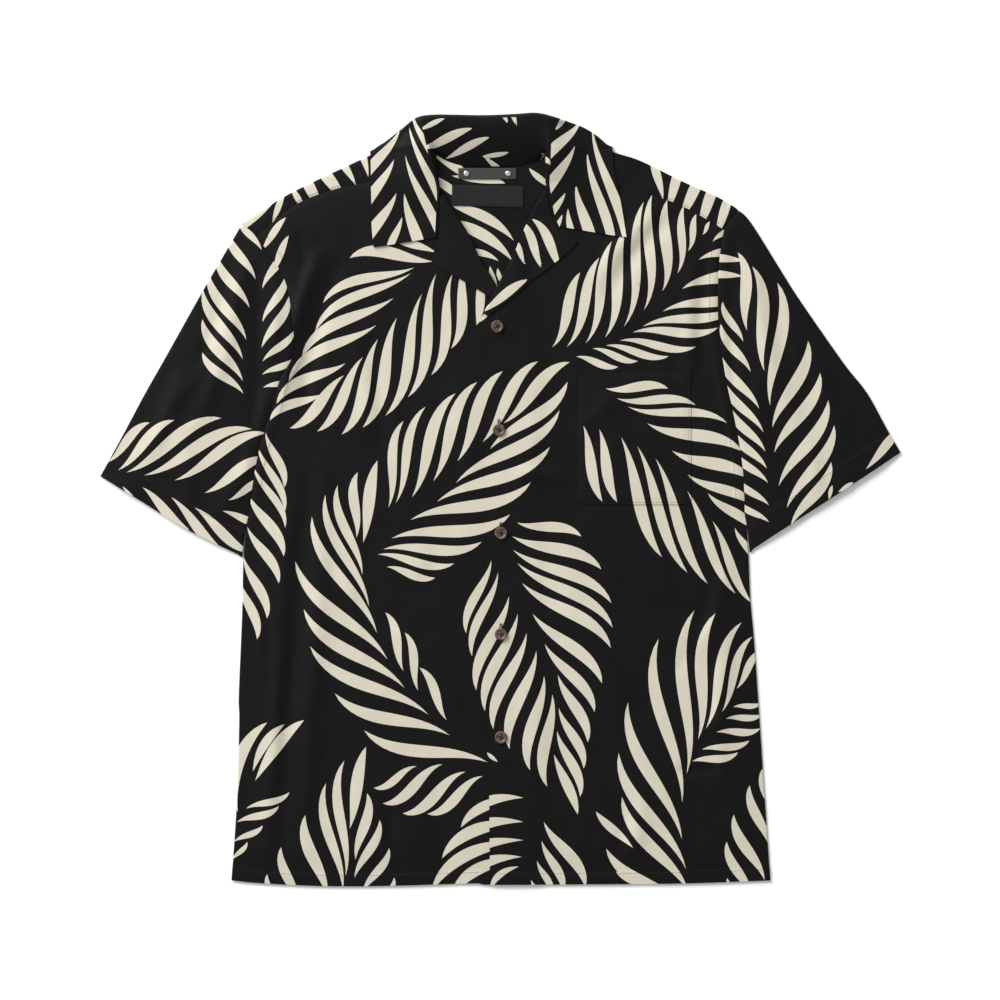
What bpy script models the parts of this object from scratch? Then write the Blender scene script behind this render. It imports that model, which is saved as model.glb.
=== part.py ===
"""Short-sleeved camp-collar shirt, buttoned and laid flat on its back.

Every cloth piece is first drawn as the middle surface of its wall: a flat outline, triangulated,
lifted to the height at which it lies, with its folded edges turned round. A Solidify modifier then
gives it the wall. Lengths are millimetres in the tables and are made metres in the meshes.
X runs to the wearer's left, +Y to the collar and +Z up. The shirt rests on z = 0.
"""
import math
from collections import namedtuple

import bpy
import bmesh
from mathutils import Vector
from mathutils.geometry import delaunay_2d_cdt

# ---------------------------------------------------------------- driving sizes, mm
MM = 0.001
CLOTH = 1.0
GAP = 0.3
LAYER = CLOTH + GAP
FLOOR_MID = CLOTH / 2
FOLD_RADIUS = 0.8
TOP_MID = FLOOR_MID + 2 * FOLD_RADIUS
BODY_PUFF = 1.7
BODY_PUFF_WIDTH = 42.0
SLEEVE_PUFF = 1.8
SLEEVE_PUFF_WIDTH = 32.0
SEAM_INSET = 0.17
SLEEVE_SEAM_GAP = 0.45
REST_CLEARANCE = 0.35
GRID = 25.0
YOKE_GRID = 30.0
BUTTON_SIDES = 20
RIVET_SIDES = 16
CURVE_STEP = 12.0
LAPEL_WRAP = 2.6
LAPEL_ROOM = LAYER + 0.7
LAPEL_END = Vector((-2, 208))
LAPEL_END_SPREAD = 26.0
OVERLAP_BLEND = (14.0, 34.0)
BACK_HEM_Y = -397.5

BUTTON_DIAMETER = 13.0
BUTTON_THICKNESS = 2.6
BUTTON_DISH = 1.8
BUTTON_HOLE = 1.7
BUTTON_HOLE_SPACING = 3.2
RIVET_DIAMETER = 6.0
RIVET_HEIGHT = 1.4
TAB_THICKNESS = 1.2
LABEL_THICKNESS = 1.0

# Centre of the shirt's own box, taken off every point so that the origin lies under its middle.
BOX_CENTRE = Vector((0.0, -0.3, 0.0))

# ---------------------------------------------------------------- outlines: x, y in mm
SHOULDER_RIGHT = [(-80.5, 386), (-137, 360), (-221, 320), (-270.5, 288.5)]
SHOULDER_LEFT = [(57, 388), (114, 365), (146.5, 354.5), (191.5, 332.5), (228.5, 316), (249.5, 303)]
ARMHOLE_RIGHT = [(-270.5, 288.5), (-256, 276), (-237, 249.5), (-225.5, 228), (-219.5, 200),
                 (-216, 162), (-219, 147), (-231.5, 124), (-238.5, 98), (-248.5, 69),
                 (-257, 35), (-264, -15)]
ARMHOLE_LEFT = [(249.5, 303), (235, 283), (229.5, 249.5), (228, 220), (228.5, 186),
                (231.5, 158), (237, 124), (243.5, 94), (251, 56), (255, 23), (256.5, -18)]
BACK_SEAM_Y = 249.5
YOKE_SEAM_RIGHT = [(-73, 353.5), (-142.5, 333), (-170, 327), (-208, 313.5), (-237, 293), (-256, 276)]
YOKE_SEAM_LEFT = [(52, 346), (132, 325.5), (170.5, 316), (199, 304), (235, 283)]
NECK_BACK = [(-80.5, 386), (-73.5, 368), (-61, 357.8), (-52, 353.8), (-43, 351.1), (-31, 349.2),
             (-14, 348.8), (7, 348.8), (20, 350.2), (31, 352.7), (41, 356.2), (49.5, 366), (57, 388)]
SIDE_RIGHT = [(-264, -15), (-268.5, -60), (-270, -121), (-273.5, -206), (-273, -232),
              (-275.5, -316), (-281, -399.5)]
SIDE_LEFT = [(256.5, -18), (259, -55), (261, -103), (265, -148.5), (269.5, -212.5),
             (274, -280), (282, -399.5)]
HEM = [(-281, -399.5), (-249.5, -402.5), (-182, -405.5), (-109.5, -405), (-27, -402.5), (-11, -404),
       (104.5, -403.5), (200, -402.5), (282, -399.5)]
UNDER_EDGE = [(2, 205), (14.5, 184), (16, 120), (16.5, -120), (17.5, -402)]
OPENING_EDGE = [(-19.5, 191), (-18.5, 150), (-17, 60), (-14.5, -120), (-12, -300), (-11, -404)]
ROLL_RIGHT = [(-80.5, 386), (-75, 368), (-73, 353.5), (-67, 338), (-62, 322), (-51, 305), (-41.5, 291),
              (-32, 275), (-21.5, 252), (-13, 239), (-3.5, 222.5), (2, 205)]
ROLL_LEFT = [(57, 388), (52.5, 368), (52, 346), (48.5, 328.5), (36, 306.5), (25.5, 284.5), (15, 259),
             (4.5, 239), (-3.5, 222.5), (-12, 206), (-19.5, 191)]
SLEEVE_OUTER_RIGHT = [(-270.5, 288.5), (-294.5, 247.5), (-313.5, 215), (-351, 148), (-372, 111),
                      (-396.5, 65), (-419, 24)]
SLEEVE_OUTER_LEFT = [(249.5, 303), (262, 290), (290.5, 244.5), (309, 215), (338.5, 172), (363, 137.5),
                     (384, 111), (405, 73), (419, 49)]
CUFF_RIGHT = [(-419, 24), (-379.5, 0), (-329, -31), (-270, -60)]
CUFF_LEFT = [(419, 49), (370, 16.5), (346, 1), (293.5, -33), (260.5, -55)]
UNDERARM_CLEARANCE = 1.6

# Lapels. Each row: roll_x, roll_y on the roll, edge_x, edge_y on the free or gorge edge.
LapelRow = namedtuple("LapelRow", "roll_x roll_y edge_x edge_y")
LAPEL_RIGHT = [LapelRow(-61.0, 320, -63.2, 318), LapelRow(-51, 305, -64.2, 297),
               LapelRow(-41.5, 291, -66.0, 273), LapelRow(-32, 275, -71, 249),
               LapelRow(-21.5, 252, -53, 237.5), LapelRow(-13, 239, -34, 226.5),
               LapelRow(-5, 225, -16, 215.5), LapelRow(0.5, 212, -4, 208)]
LAPEL_LEFT = [LapelRow(46.6, 324, 48.2, 321.5), LapelRow(36, 306.5, 53.3, 298),
              LapelRow(30.5, 295, 59.0, 284.8), LapelRow(25.5, 284.5, 65, 275.5),
              LapelRow(21, 274, 80.5, 271), LapelRow(15, 259, 64.5, 254.5),
              LapelRow(9.5, 248, 46.5, 240), LapelRow(4.5, 239, 29, 227),
              LapelRow(-3.5, 222.5, 14, 213), LapelRow(-12, 206, -1.5, 201.5),
              LapelRow(-17.5, 195, -14, 192.8)]

# Collar, from its right front end round the back of the neck to its left front end.
# neck = where the stand is sewn on, roll = top of the stand, fold = where the fall turns under,
# edge = free edge of the fall, rise = height of the roll above the cloth, under = 1 where the fall
# has turned under the back.
CollarRow = namedtuple(
    "CollarRow", "neck_x neck_y neck_z roll_x roll_y rise fold_x fold_y edge_x edge_y under")
COLLAR = [
    CollarRow(-67.4, 275, 5.3, -67.4, 275, 0.0, -122, 266, -133, 264.5, 0),
    CollarRow(-66.0, 299, 5.3, -66.0, 299, 0.0, -124, 289, -135, 286, 0),
    CollarRow(-63.8, 322, 5.9, -65.0, 322, 1.4, -124, 311, -135.3, 309, 0),
    CollarRow(-65.2, 338, 3.6, -68.0, 338, 4.2, -125, 332, -135.7, 331, 0),
    CollarRow(-67.6, 353, 3.5, -72.5, 354, 8.0, -126, 351, -136, 350, 0),
    CollarRow(-67.2, 361, 3.4, -74.5, 363, 10.0, -128, 363.5, -136.4, 362.2, 0),
    CollarRow(-66.4, 364.4, 2.7, -76.0, 370, 11.0, -131, 367, -136.8, 364.6, 0.5),
    CollarRow(-65.2, 364.2, 2.0, -77.0, 373, 11.3, -128.5, 370.0, -135.6, 365.2, 1),
    CollarRow(-63.6, 362.6, 1.8, -78.4, 379, 11.7, -119.0, 376.2, -133, 359, 1),
    CollarRow(-61.0, 359.2, 1.8, -80.5, 387, 12.2, -102.5, 389, -120, 350, 1),
    CollarRow(-52.0, 355.2, 1.8, -80.5, 396, 12.4, -87.5, 399.5, -92, 342, 1),
    CollarRow(-43.0, 352.5, 1.8, -69.0, 398, 12.0, -71, 402.5, -64, 338, 1),
    CollarRow(-31.0, 350.6, 1.8, -47.0, 397.8, 11.6, -48, 402.4, -40, 336.5, 1),
    CollarRow(-14.0, 350.2, 1.8, -16.5, 397.4, 11.4, -16.5, 401.9, -14, 336, 1),
    CollarRow(7.0, 350.2, 1.8, 14.0, 398.6, 11.6, 15, 403.1, 11, 336.5, 1),
    CollarRow(20.0, 351.6, 1.8, 35.0, 399.6, 12.0, 37.5, 404.4, 35, 338.5, 1),
    CollarRow(31.0, 354.1, 1.8, 48.5, 394.5, 12.4, 56, 400.4, 64, 344, 1),
    CollarRow(41.0, 357.6, 1.8, 50.8, 383.5, 12.2, 83.5, 391.5, 97, 352, 1),
    CollarRow(43.6, 361.4, 1.8, 51.2, 375, 11.7, 99, 382.5, 112.5, 361.5, 1),
    CollarRow(45.2, 363.4, 2.0, 51.2, 370, 11.3, 109, 374.0, 116.8, 369.8, 1),
    CollarRow(46.2, 363.6, 2.7, 51.2, 366, 11.0, 112, 370.5, 117.6, 368.2, 0.5),
    CollarRow(47.4, 359.5, 3.4, 51.0, 359, 10.0, 109, 365.5, 117.6, 365.9, 0),
    CollarRow(47.6, 348, 3.5, 50.6, 348.5, 8.0, 109, 350.5, 118.4, 350.5, 0),
    CollarRow(47.4, 337, 3.6, 49.8, 337.5, 4.2, 111, 336, 121.5, 335, 0),
    CollarRow(48.6, 327.5, 6.0, 50.0, 327.5, 1.4, 113.5, 321.5, 124.5, 320, 0),
    CollarRow(54.9, 299, 5.3, 54.9, 299, 0.0, 117, 301, 128, 301, 0),
    CollarRow(59.9, 286.6, 5.3, 59.9, 286.6, 0.0, 121, 276.5, 132, 275, 0),
]
COLLAR_STEPS = 2
LAPEL_STEPS = 2

# The collar's fall lies under the yoke round the neck, and lifts the yoke by one layer.
NECK_LIFT_CENTRE = (-10.5, 372)
NECK_LIFT_RADII = (136, 64)
NECK_LIFT_FADE = 0.28

# Creases of the upper layer. bow = sideways swing of the middle, height < 0 is a trough.
Crease = namedtuple("Crease", "start_x start_y end_x end_y bow width height")
BODY_CREASES = [
    Crease(-214, 78, -238, -352, 14, 9, -1.3),
    Crease(-228, 40, -252, -300, 12, 10, 1.4),
    Crease(-198, 60, -214, -250, 10, 14, 1.3),
    Crease(-201, 290, -194, 190, 5, 8, -1.2),
    Crease(-188, 285, -176, 150, 6, 12, 1.2),
    Crease(16, 30, 78, 12, 4, 8, 1.2),
    Crease(240, -50, 196, -170, 10, 16, 1.6),
    Crease(246, -110, 232, -300, -8, 12, 1.3),
    Crease(190, -287, 224, -284, 2, 6, 0.9),
    Crease(-118, -315, -114, -368, 1, 6, 0.8),
    Crease(-72, -290, -62, -398, 4, 26, -1.2),
    Crease(120, -300, 150, -398, -6, 24, 1.2),
    Crease(-150, 120, -60, -40, 16, 22, 1.3),
    Crease(60, 150, 190, 40, -12, 24, 1.1),
    Crease(-120, -120, -40, -230, 10, 24, 1.1),
    Crease(70, -90, 170, -200, 12, 26, 1.2),
]
SLEEVE_CREASES = [
    Crease(-262, 262, -330, 60, 12, 13, 1.5),
    Crease(-236, 190, -300, -20, 10, 12, 1.3),
    Crease(-250, 140, -276, -20, -6, 8, -1.2),
    Crease(-330, 150, -380, 30, 6, 12, 1.0),
    Crease(244, 215, 249, 40, -4, 8, -1.2),
    Crease(266, 270, 320, 60, -12, 13, 1.5),
    Crease(262, 140, 290, 0, -8, 11, 1.3),
    Crease(330, 160, 372, 40, -6, 12, 1.0),
]

BUTTON_CENTRES = [(-3.5, 181.5), (-1.5, 73), (0.5, -35), (0.5, -141), (0.5, -249)]
POCKET = [(81, 134), (199.5, 134), (199.5, -2), (190, -5), (90, -5), (81, -2)]
LABEL_CENTRE = (-13.5, 318.5)
LABEL_SIZE = (75.0, 22.0)
LABEL_TILT = math.radians(-1.5)
TAB_CENTRE = (-13.8, 342.0)
TAB_SIZE = (61.0, 11.6)
RIVET_CENTRES = {"rivet_right": (-35.8, 342.2), "rivet_left": (8.0, 342.2)}

# material: base colour, roughness, metallic
FINISHES = {
    "shirt_cloth": ((0.014, 0.014, 0.015), 0.72, 0.0),
    "button_shell": ((0.16, 0.065, 0.035), 0.4, 0.0),
    "label_cloth": ((0.02, 0.021, 0.023), 0.8, 0.0),
    "tab_leather": ((0.035, 0.035, 0.037), 0.55, 0.0),
    "rivet_metal": ((0.75, 0.75, 0.76), 0.25, 1.0),
}


# ---------------------------------------------------------------- curves
def smooth_step(low, high, value):
    part = min(max((value - low) / (high - low), 0.0), 1.0)
    return part * part * (3 - 2 * part)


def mix(first, second, part):
    return first + (second - first) * part


def spline_value(values, position):
    """Read a Catmull-Rom spline through the values at a position counted in values."""
    last = len(values) - 1
    index = min(int(position), last - 1)
    part = position - index
    before = values[max(index - 1, 0)]
    start = values[index]
    end = values[index + 1]
    after = values[min(index + 2, last)]
    leave = (end - before) / 2
    arrive = (after - start) / 2
    square = part * part
    cube = square * part
    return (start * (2 * cube - 3 * square + 1) + leave * (cube - 2 * square + part)
            + end * (3 * square - 2 * cube) + arrive * (cube - square))


def smooth_curve(points, step=CURVE_STEP):
    """Even points along a smooth curve through the given ones, both ends kept."""
    knots = [Vector(point) for point in points]
    fine = [spline_value(knots, index / 12) for index in range(12 * (len(knots) - 1) + 1)]
    return even_points(fine, step)


def even_points(line, step):
    lengths = [0.0]
    for first, second in zip(line, line[1:]):
        lengths.append(lengths[-1] + (second - first).length)
    count = max(2, round(lengths[-1] / step))
    result = [line[0].copy()]
    segment = 0
    for index in range(1, count):
        target = lengths[-1] * index / count
        while lengths[segment + 1] < target:
            segment += 1
        part = (target - lengths[segment]) / (lengths[segment + 1] - lengths[segment])
        result.append(line[segment].lerp(line[segment + 1], part))
    result.append(line[-1].copy())
    return result


def distance_to_line(line, x, y):
    here = Vector((x, y))
    best = math.inf
    for first, second in zip(line, line[1:]):
        along = second - first
        part = min(max((here - first).dot(along) / along.length_squared, 0.0), 1.0)
        best = min(best, (first + along * part - here).length)
    return best


def inside(outline, x, y):
    crossed = False
    for first, second in zip(outline, outline[1:] + outline[:1]):
        if (first.y > y) != (second.y > y):
            if x < first.x + (second.x - first.x) * (y - first.y) / (second.y - first.y):
                crossed = not crossed
    return crossed


def reverse(line):
    return list(reversed(line))


def offset_line(line, distance):
    """Move a line sideways, to its left for a positive distance."""
    result = []
    for index, point in enumerate(line):
        before = line[max(index - 1, 0)]
        after = line[min(index + 1, len(line) - 1)]
        along = (after - before).normalized()
        result.append(point + Vector((-along.y, along.x)) * distance)
    return result


def inset_outline(outline, distance):
    """Shrink a closed counter-clockwise outline by moving each edge inwards."""
    result = []
    count = len(outline)
    for index, point in enumerate(outline):
        incoming = (point - outline[index - 1]).normalized()
        outgoing = (outline[(index + 1) % count] - point).normalized()
        normal = Vector((-incoming.y, incoming.x)) + Vector((-outgoing.y, outgoing.x))
        normal.normalize()
        spread = max(normal.dot(Vector((-incoming.y, incoming.x))), 0.5)
        result.append(point + normal * (distance / spread))
    return result


def join_lines(*lines):
    """Chain lines into one closed outline, dropping repeated corners."""
    outline = []
    for line in lines:
        for point in line:
            if not outline or (point - outline[-1]).length > 0.05:
                outline.append(point)
    if (outline[0] - outline[-1]).length < 0.05:
        outline.pop()
    return outline


# ---------------------------------------------------------------- shared seam lines
shoulder_right = smooth_curve(SHOULDER_RIGHT)
shoulder_left = smooth_curve(SHOULDER_LEFT)
armhole_right = smooth_curve(ARMHOLE_RIGHT)
armhole_left = smooth_curve(ARMHOLE_LEFT)
yoke_seam_right = smooth_curve(YOKE_SEAM_RIGHT)
yoke_seam_left = smooth_curve(YOKE_SEAM_LEFT)
neck_back = smooth_curve(NECK_BACK, 8.0)
side_right = smooth_curve(SIDE_RIGHT, 20.0)
side_left = smooth_curve(SIDE_LEFT, 20.0)
hem = smooth_curve(HEM, 20.0)
roll_right = smooth_curve(ROLL_RIGHT, 8.0)
roll_left = smooth_curve(ROLL_LEFT, 8.0)
body_rim = [shoulder_right, shoulder_left, side_right, side_left, hem]


def split_at(line, y, keep_above):
    """The part of a line above or below a height on the shirt, cut exactly there."""
    result = []
    for first, second in zip(line, line[1:]):
        if (first.y - y) * (second.y - y) < 0:
            cut = first.lerp(second, (y - first.y) / (second.y - first.y))
        else:
            cut = None
        if (first.y >= y) == keep_above:
            result.append(first)
        if cut is not None:
            result.append(cut)
    if (line[-1].y >= y) == keep_above:
        result.append(line[-1])
    return result


# ---------------------------------------------------------------- heights of the layers
def crease_height(creases, x, y):
    """Sum of soft ridges and troughs, each tapered to nothing at its two ends."""
    total = 0.0
    for crease in creases:
        start = Vector((crease.start_x, crease.start_y))
        along = Vector((crease.end_x, crease.end_y)) - start
        length = along.length
        along /= length
        offset = Vector((x, y)) - start
        part = offset.dot(along) / length
        if 0 < part < 1:
            taper = math.sin(math.pi * part)
            across = offset.dot(Vector((-along.y, along.x))) - crease.bow * taper
            total += crease.height * taper ** 0.7 * math.exp(-(across / crease.width) ** 2)
    return total


def neck_lift(x, y):
    across = (x - NECK_LIFT_CENTRE[0]) / NECK_LIFT_RADII[0]
    along = (y - NECK_LIFT_CENTRE[1]) / NECK_LIFT_RADII[1]
    return LAYER * (1 - smooth_step(1.0, 1.0 + NECK_LIFT_FADE, math.hypot(across, along)))


def back_mid(x, y):
    return FLOOR_MID + neck_lift(x, y)


def front_mid(x, y):
    """Middle of the wall of the body's upper layer: right front and shoulder strips."""
    rim = min(distance_to_line(line, x, y) for line in body_rim)
    puff = BODY_PUFF * smooth_step(0, BODY_PUFF_WIDTH, rim)
    fade = smooth_step(0, BODY_PUFF_WIDTH, rim)
    return TOP_MID + neck_lift(x, y) + puff + fade * crease_height(BODY_CREASES, x, y)


def under_edge_x(y):
    knots = [Vector(point) for point in UNDER_EDGE]
    for upper, lower in zip(knots, knots[1:]):
        if y >= lower.y:
            return mix(upper.x, lower.x, min(max((upper.y - y) / (upper.y - lower.y), 0), 1))
    return knots[-1].x


def front_left_mid(x, y):
    """The left front lies a layer higher over the right one, and two where a lapel lies between."""
    lap = 1 - smooth_step(*OVERLAP_BLEND, x - under_edge_x(y))
    from_end = (Vector((x, y)) - LAPEL_END).length / LAPEL_END_SPREAD
    lapel = min(1.25 * math.exp(-from_end ** 2), 1.0)
    return front_mid(x, y) + LAYER * lap + LAPEL_ROOM * lapel


def upper_mid(x, y):
    """Middle of the wall of whatever cloth is uppermost before collar and lapels go on."""
    opening = mix(ROLL_LEFT[-1][0], 50, smooth_step(ROLL_LEFT[-1][1], 340, y))
    return front_left_mid(x, y) if x > opening else front_mid(x, y)


# ---------------------------------------------------------------- meshes
def triangulated(outline, spacing):
    """Triangles that fill a closed outline, with a staggered grid of points inside it."""
    points = list(outline)
    edges = [(index, (index + 1) % len(points)) for index in range(len(points))]
    if spacing:
        low_x = min(point.x for point in outline)
        high_x = max(point.x for point in outline)
        low_y = min(point.y for point in outline)
        high_y = max(point.y for point in outline)
        rows = int((high_y - low_y) / (spacing * 0.866)) + 1
        columns = int((high_x - low_x) / spacing) + 2
        rim = outline + outline[:1]
        for row in range(rows):
            y = low_y + (row + 0.5) * spacing * 0.866
            for column in range(columns):
                x = low_x + (column + 0.5 * (row % 2)) * spacing
                if inside(outline, x, y) and distance_to_line(rim, x, y) > 0.45 * spacing:
                    points.append(Vector((x, y)))
    found = delaunay_2d_cdt(points, edges, [], 1, 1e-5)
    return found[0], found[2]


def add_sheet(mesh, outline, spacing, height):
    points, triangles = triangulated(outline, spacing)
    corners = [mesh.verts.new((point.x, point.y, height(point.x, point.y))) for point in points]
    for triangle in triangles:
        mesh.faces.new([corners[index] for index in triangle])


def add_rows(mesh, rows):
    """A grid of faces over rows of points of equal length."""
    corners = [[mesh.verts.new(point) for point in row] for row in rows]
    for first, second in zip(corners, corners[1:]):
        for index in range(len(first) - 1):
            mesh.faces.new((first[index], first[index + 1], second[index + 1], second[index]))


def add_fold(mesh, line, outward, lower, upper, steps=4):
    """Turn the cloth round a fold, from its lower layer up to its upper layer."""
    rows = []
    for index, point in enumerate(line):
        before = line[max(index - 1, 0)]
        after = line[min(index + 1, len(line) - 1)]
        along = (after - before).normalized()
        side = Vector((-along.y, along.x)) * outward
        low = lower(point.x, point.y)
        high = upper(point.x, point.y)
        row = []
        for step in range(steps + 1):
            angle = math.pi * (step / steps - 0.5)
            reach = side * math.cos(angle) * (high - low) / 2
            row.append((point.x + reach.x, point.y + reach.y, mix(low, high, (1 + math.sin(angle)) / 2)))
        rows.append(row)
    add_rows(mesh, rows)


def finish(name, mesh, finish_name, wall=None):
    """Merge the parts of a mesh, make it an object in metres and give it its wall and finish."""
    bmesh.ops.remove_doubles(mesh, verts=mesh.verts, dist=0.02)
    bmesh.ops.dissolve_degenerate(mesh, edges=mesh.edges, dist=0.01)
    bmesh.ops.recalc_face_normals(mesh, faces=mesh.faces)
    for vertex in mesh.verts:
        vertex.co = (vertex.co - BOX_CENTRE) * MM
    data = bpy.data.meshes.new(name)
    mesh.to_mesh(data)
    mesh.free()
    data.shade_smooth()
    data.set_sharp_from_angle(angle=math.radians(40))
    data.materials.append(bpy.data.materials[finish_name])
    piece = bpy.data.objects.new(name, data)
    bpy.context.scene.collection.objects.link(piece)
    if wall:
        thicken = piece.modifiers.new("wall", "SOLIDIFY")
        thicken.thickness = wall * MM
        thicken.offset = 0
    return piece


def make_finishes():
    for name, (colour, roughness, metallic) in FINISHES.items():
        material = bpy.data.materials.new(name)
        material.use_nodes = True
        shader = material.node_tree.nodes["Principled BSDF"]
        shader.inputs["Base Color"].default_value = (*colour, 1)
        shader.inputs["Roughness"].default_value = roughness
        shader.inputs["Metallic"].default_value = metallic


# ---------------------------------------------------------------- body
def make_back():
    outline = join_lines(
        hem, reverse(side_left), reverse(split_at(armhole_left, BACK_SEAM_Y, False)),
        split_at(armhole_right, BACK_SEAM_Y, False), side_right)
    outline = inset_outline(outline, SEAM_INSET)
    for point in outline:
        point.y = max(point.y, BACK_HEM_Y)
    mesh = bmesh.new()
    add_sheet(mesh, outline, 0, back_mid)
    finish("back", mesh, "shirt_cloth", CLOTH)


def make_yoke():
    mesh = bmesh.new()
    below = join_lines(
        reverse(split_at(armhole_left, BACK_SEAM_Y, True)), reverse(shoulder_left), reverse(neck_back),
        shoulder_right, split_at(armhole_right, BACK_SEAM_Y, True))
    add_sheet(mesh, below, YOKE_GRID, back_mid)
    for shoulder, seam, armhole, outward in (
            (shoulder_right, yoke_seam_right, armhole_right, -1),
            (shoulder_left, yoke_seam_left, armhole_left, 1)):
        end = seam[-1]
        strip_end = split_at(armhole, end.y, True)
        strip = join_lines(shoulder, strip_end, reverse(seam))
        if outward > 0:
            strip = reverse(strip)
        add_sheet(mesh, strip, GRID, front_mid)
        add_fold(mesh, shoulder, outward, back_mid, front_mid)
    finish("yoke", mesh, "shirt_cloth", CLOTH)


def make_front_right():
    roll = offset_line(roll_right, -LAPEL_WRAP)
    roll = [point for point in roll if point.y < YOKE_SEAM_RIGHT[0][1] - 0.5]
    edge = smooth_curve(UNDER_EDGE, 20.0)
    armhole = split_at(armhole_right, YOKE_SEAM_RIGHT[-1][1], False)
    low_hem = [point for point in hem if point.x < edge[-1].x]
    outline = join_lines(
        low_hem, reverse(edge), reverse(roll), yoke_seam_right[1:], armhole, side_right)
    mesh = bmesh.new()
    add_sheet(mesh, inset_outline(outline, SEAM_INSET), GRID, front_mid)
    finish("front_right", mesh, "shirt_cloth", CLOTH)


def make_front_left():
    roll = offset_line(roll_left, LAPEL_WRAP)
    roll = [point for point in roll if point.y < YOKE_SEAM_LEFT[0][1] - 0.5 and point.y > 194]
    edge = smooth_curve(OPENING_EDGE, 20.0)
    armhole = split_at(armhole_left, YOKE_SEAM_LEFT[-1][1], False)
    low_hem = [point for point in hem if point.x > edge[-1].x + 6]
    outline = join_lines(
        low_hem, reverse(side_left), reverse(armhole), reverse(yoke_seam_left[1:]), roll, edge)
    mesh = bmesh.new()
    add_sheet(mesh, inset_outline(outline, SEAM_INSET), GRID, front_left_mid)
    finish("front_left", mesh, "shirt_cloth", CLOTH)


# ---------------------------------------------------------------- sleeves
def make_sleeve(name, outer, armhole, cuff, side, outward):
    """A flattened tube: lower layer, upper layer, and the folds along its top and underarm."""
    outer = smooth_curve(outer, 16.0)
    cuff = smooth_curve(cuff, 16.0)
    armhole = offset_line(armhole, SLEEVE_SEAM_GAP * outward)
    outer[0] = outer[0].lerp(outer[1], 1.2 / (outer[1] - outer[0]).length)
    armhole[0] = outer[0]
    underarm = even_points([armhole[-1], Vector(side)], 10.0)
    shift = Vector((UNDERARM_CLEARANCE * outward, 0))
    underarm = [point + shift * smooth_step(0, 12, armhole[-1].y - point.y) for point in underarm]
    cuff[-1] = underarm[-1]
    folds = [outer, underarm]

    def upper(x, y):
        rim = min(distance_to_line(line, x, y) for line in folds)
        fade = smooth_step(0, SLEEVE_PUFF_WIDTH, rim)
        seam = smooth_step(0, 26.0, distance_to_line(armhole, x, y))
        crease = crease_height(SLEEVE_CREASES, x, y)
        return TOP_MID + fade * (SLEEVE_PUFF + crease * seam)

    def lower(x, y):
        return FLOOR_MID

    outline = join_lines(outer, cuff, reverse(underarm), reverse(armhole))
    if outward > 0:
        outline = reverse(outline)
    mesh = bmesh.new()
    add_sheet(mesh, outline, 0, lower)
    add_sheet(mesh, outline, GRID, upper)
    add_fold(mesh, outer, outward, lower, upper)
    add_fold(mesh, underarm, outward, lower, upper)
    finish(name, mesh, "shirt_cloth", CLOTH)


# ---------------------------------------------------------------- collar and lapels
def collar_rows():
    """Cross-sections of the collar's middle surface, one for each station along it."""
    last = len(COLLAR) - 1
    rows = []
    for step in range(last * COLLAR_STEPS + 1):
        position = step / COLLAR_STEPS
        index = min(int(position), last - 1)
        under = mix(COLLAR[index].under, COLLAR[index + 1].under, position - index)

        def read(field):
            return spline_value([getattr(row, field) for row in COLLAR], position)

        neck = Vector((read("neck_x"), read("neck_y"), read("neck_z")))
        roll = Vector((read("roll_x"), read("roll_y")))
        fold = Vector((read("fold_x"), read("fold_y")))
        edge = Vector((read("edge_x"), read("edge_y")))
        rise = max(read("rise"), 0.0)
        rows.append(collar_section(neck, roll, fold, edge, rise, under))
    return rows


def leaf_mid(x, y):
    return upper_mid(x, y) + LAYER + REST_CLEARANCE


def collar_section(neck, roll, fold, edge, rise, under):
    top = leaf_mid(roll.x, roll.y) + rise
    reach = (fold - roll).length
    lying = smooth_step(8.0, 28.0, reach)
    fold_rest = leaf_mid(fold.x, fold.y)
    turned = mix((top + FLOOR_MID) / 2, (fold_rest + FLOOR_MID) / 2, lying)
    fold_z = mix(fold_rest, turned, under)
    section = []
    foot = neck.z if (neck.xy - roll).length > 0.5 else top
    for part in (0.0, 0.3, 0.6, 0.85):
        x = mix(neck.x, roll.x, part)
        y = mix(neck.y, roll.y, part)
        section.append((x, y, mix(foot, top, math.sin(part * math.pi / 2))))
    section.append((roll.x, roll.y, top))
    for part in (0.15, 0.38, 0.65, 0.9):
        x = mix(roll.x, fold.x, part)
        y = mix(roll.y, fold.y, part)
        draped = leaf_mid(x, y) + rise * (1 - smooth_step(0.0, 0.8, part))
        if under:
            drop = leaf_mid(x, y) - fold_z
            draped -= drop * under * (1 - math.sqrt(1 - max(part - 0.9, 0) ** 2 * 20))
        rounded = fold_z + (top - fold_z) * math.sqrt(1 - part ** 2)
        section.append((x, y, mix(rounded, draped, lying)))
    section.append((fold.x, fold.y, fold_z))
    onward = (edge - fold).normalized()
    turn = min(fold_z - FLOOR_MID, 0.4 * (edge - fold).length)
    for angle in (math.radians(30), math.radians(60), math.radians(90)):
        place = fold + onward * turn * (1 - math.cos(angle))
        below = fold_z - (fold_z - FLOOR_MID) * math.sin(angle)
        section.append((place.x, place.y, mix(leaf_mid(place.x, place.y), below, under)))
    start = fold + onward * turn
    for part in (0.5, 1.0):
        place = start.lerp(edge, part)
        section.append((place.x, place.y, mix(leaf_mid(place.x, place.y), FLOOR_MID, under)))
    return section


def make_collar():
    mesh = bmesh.new()
    add_rows(mesh, collar_rows())
    finish("collar", mesh, "shirt_cloth", CLOTH)


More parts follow.
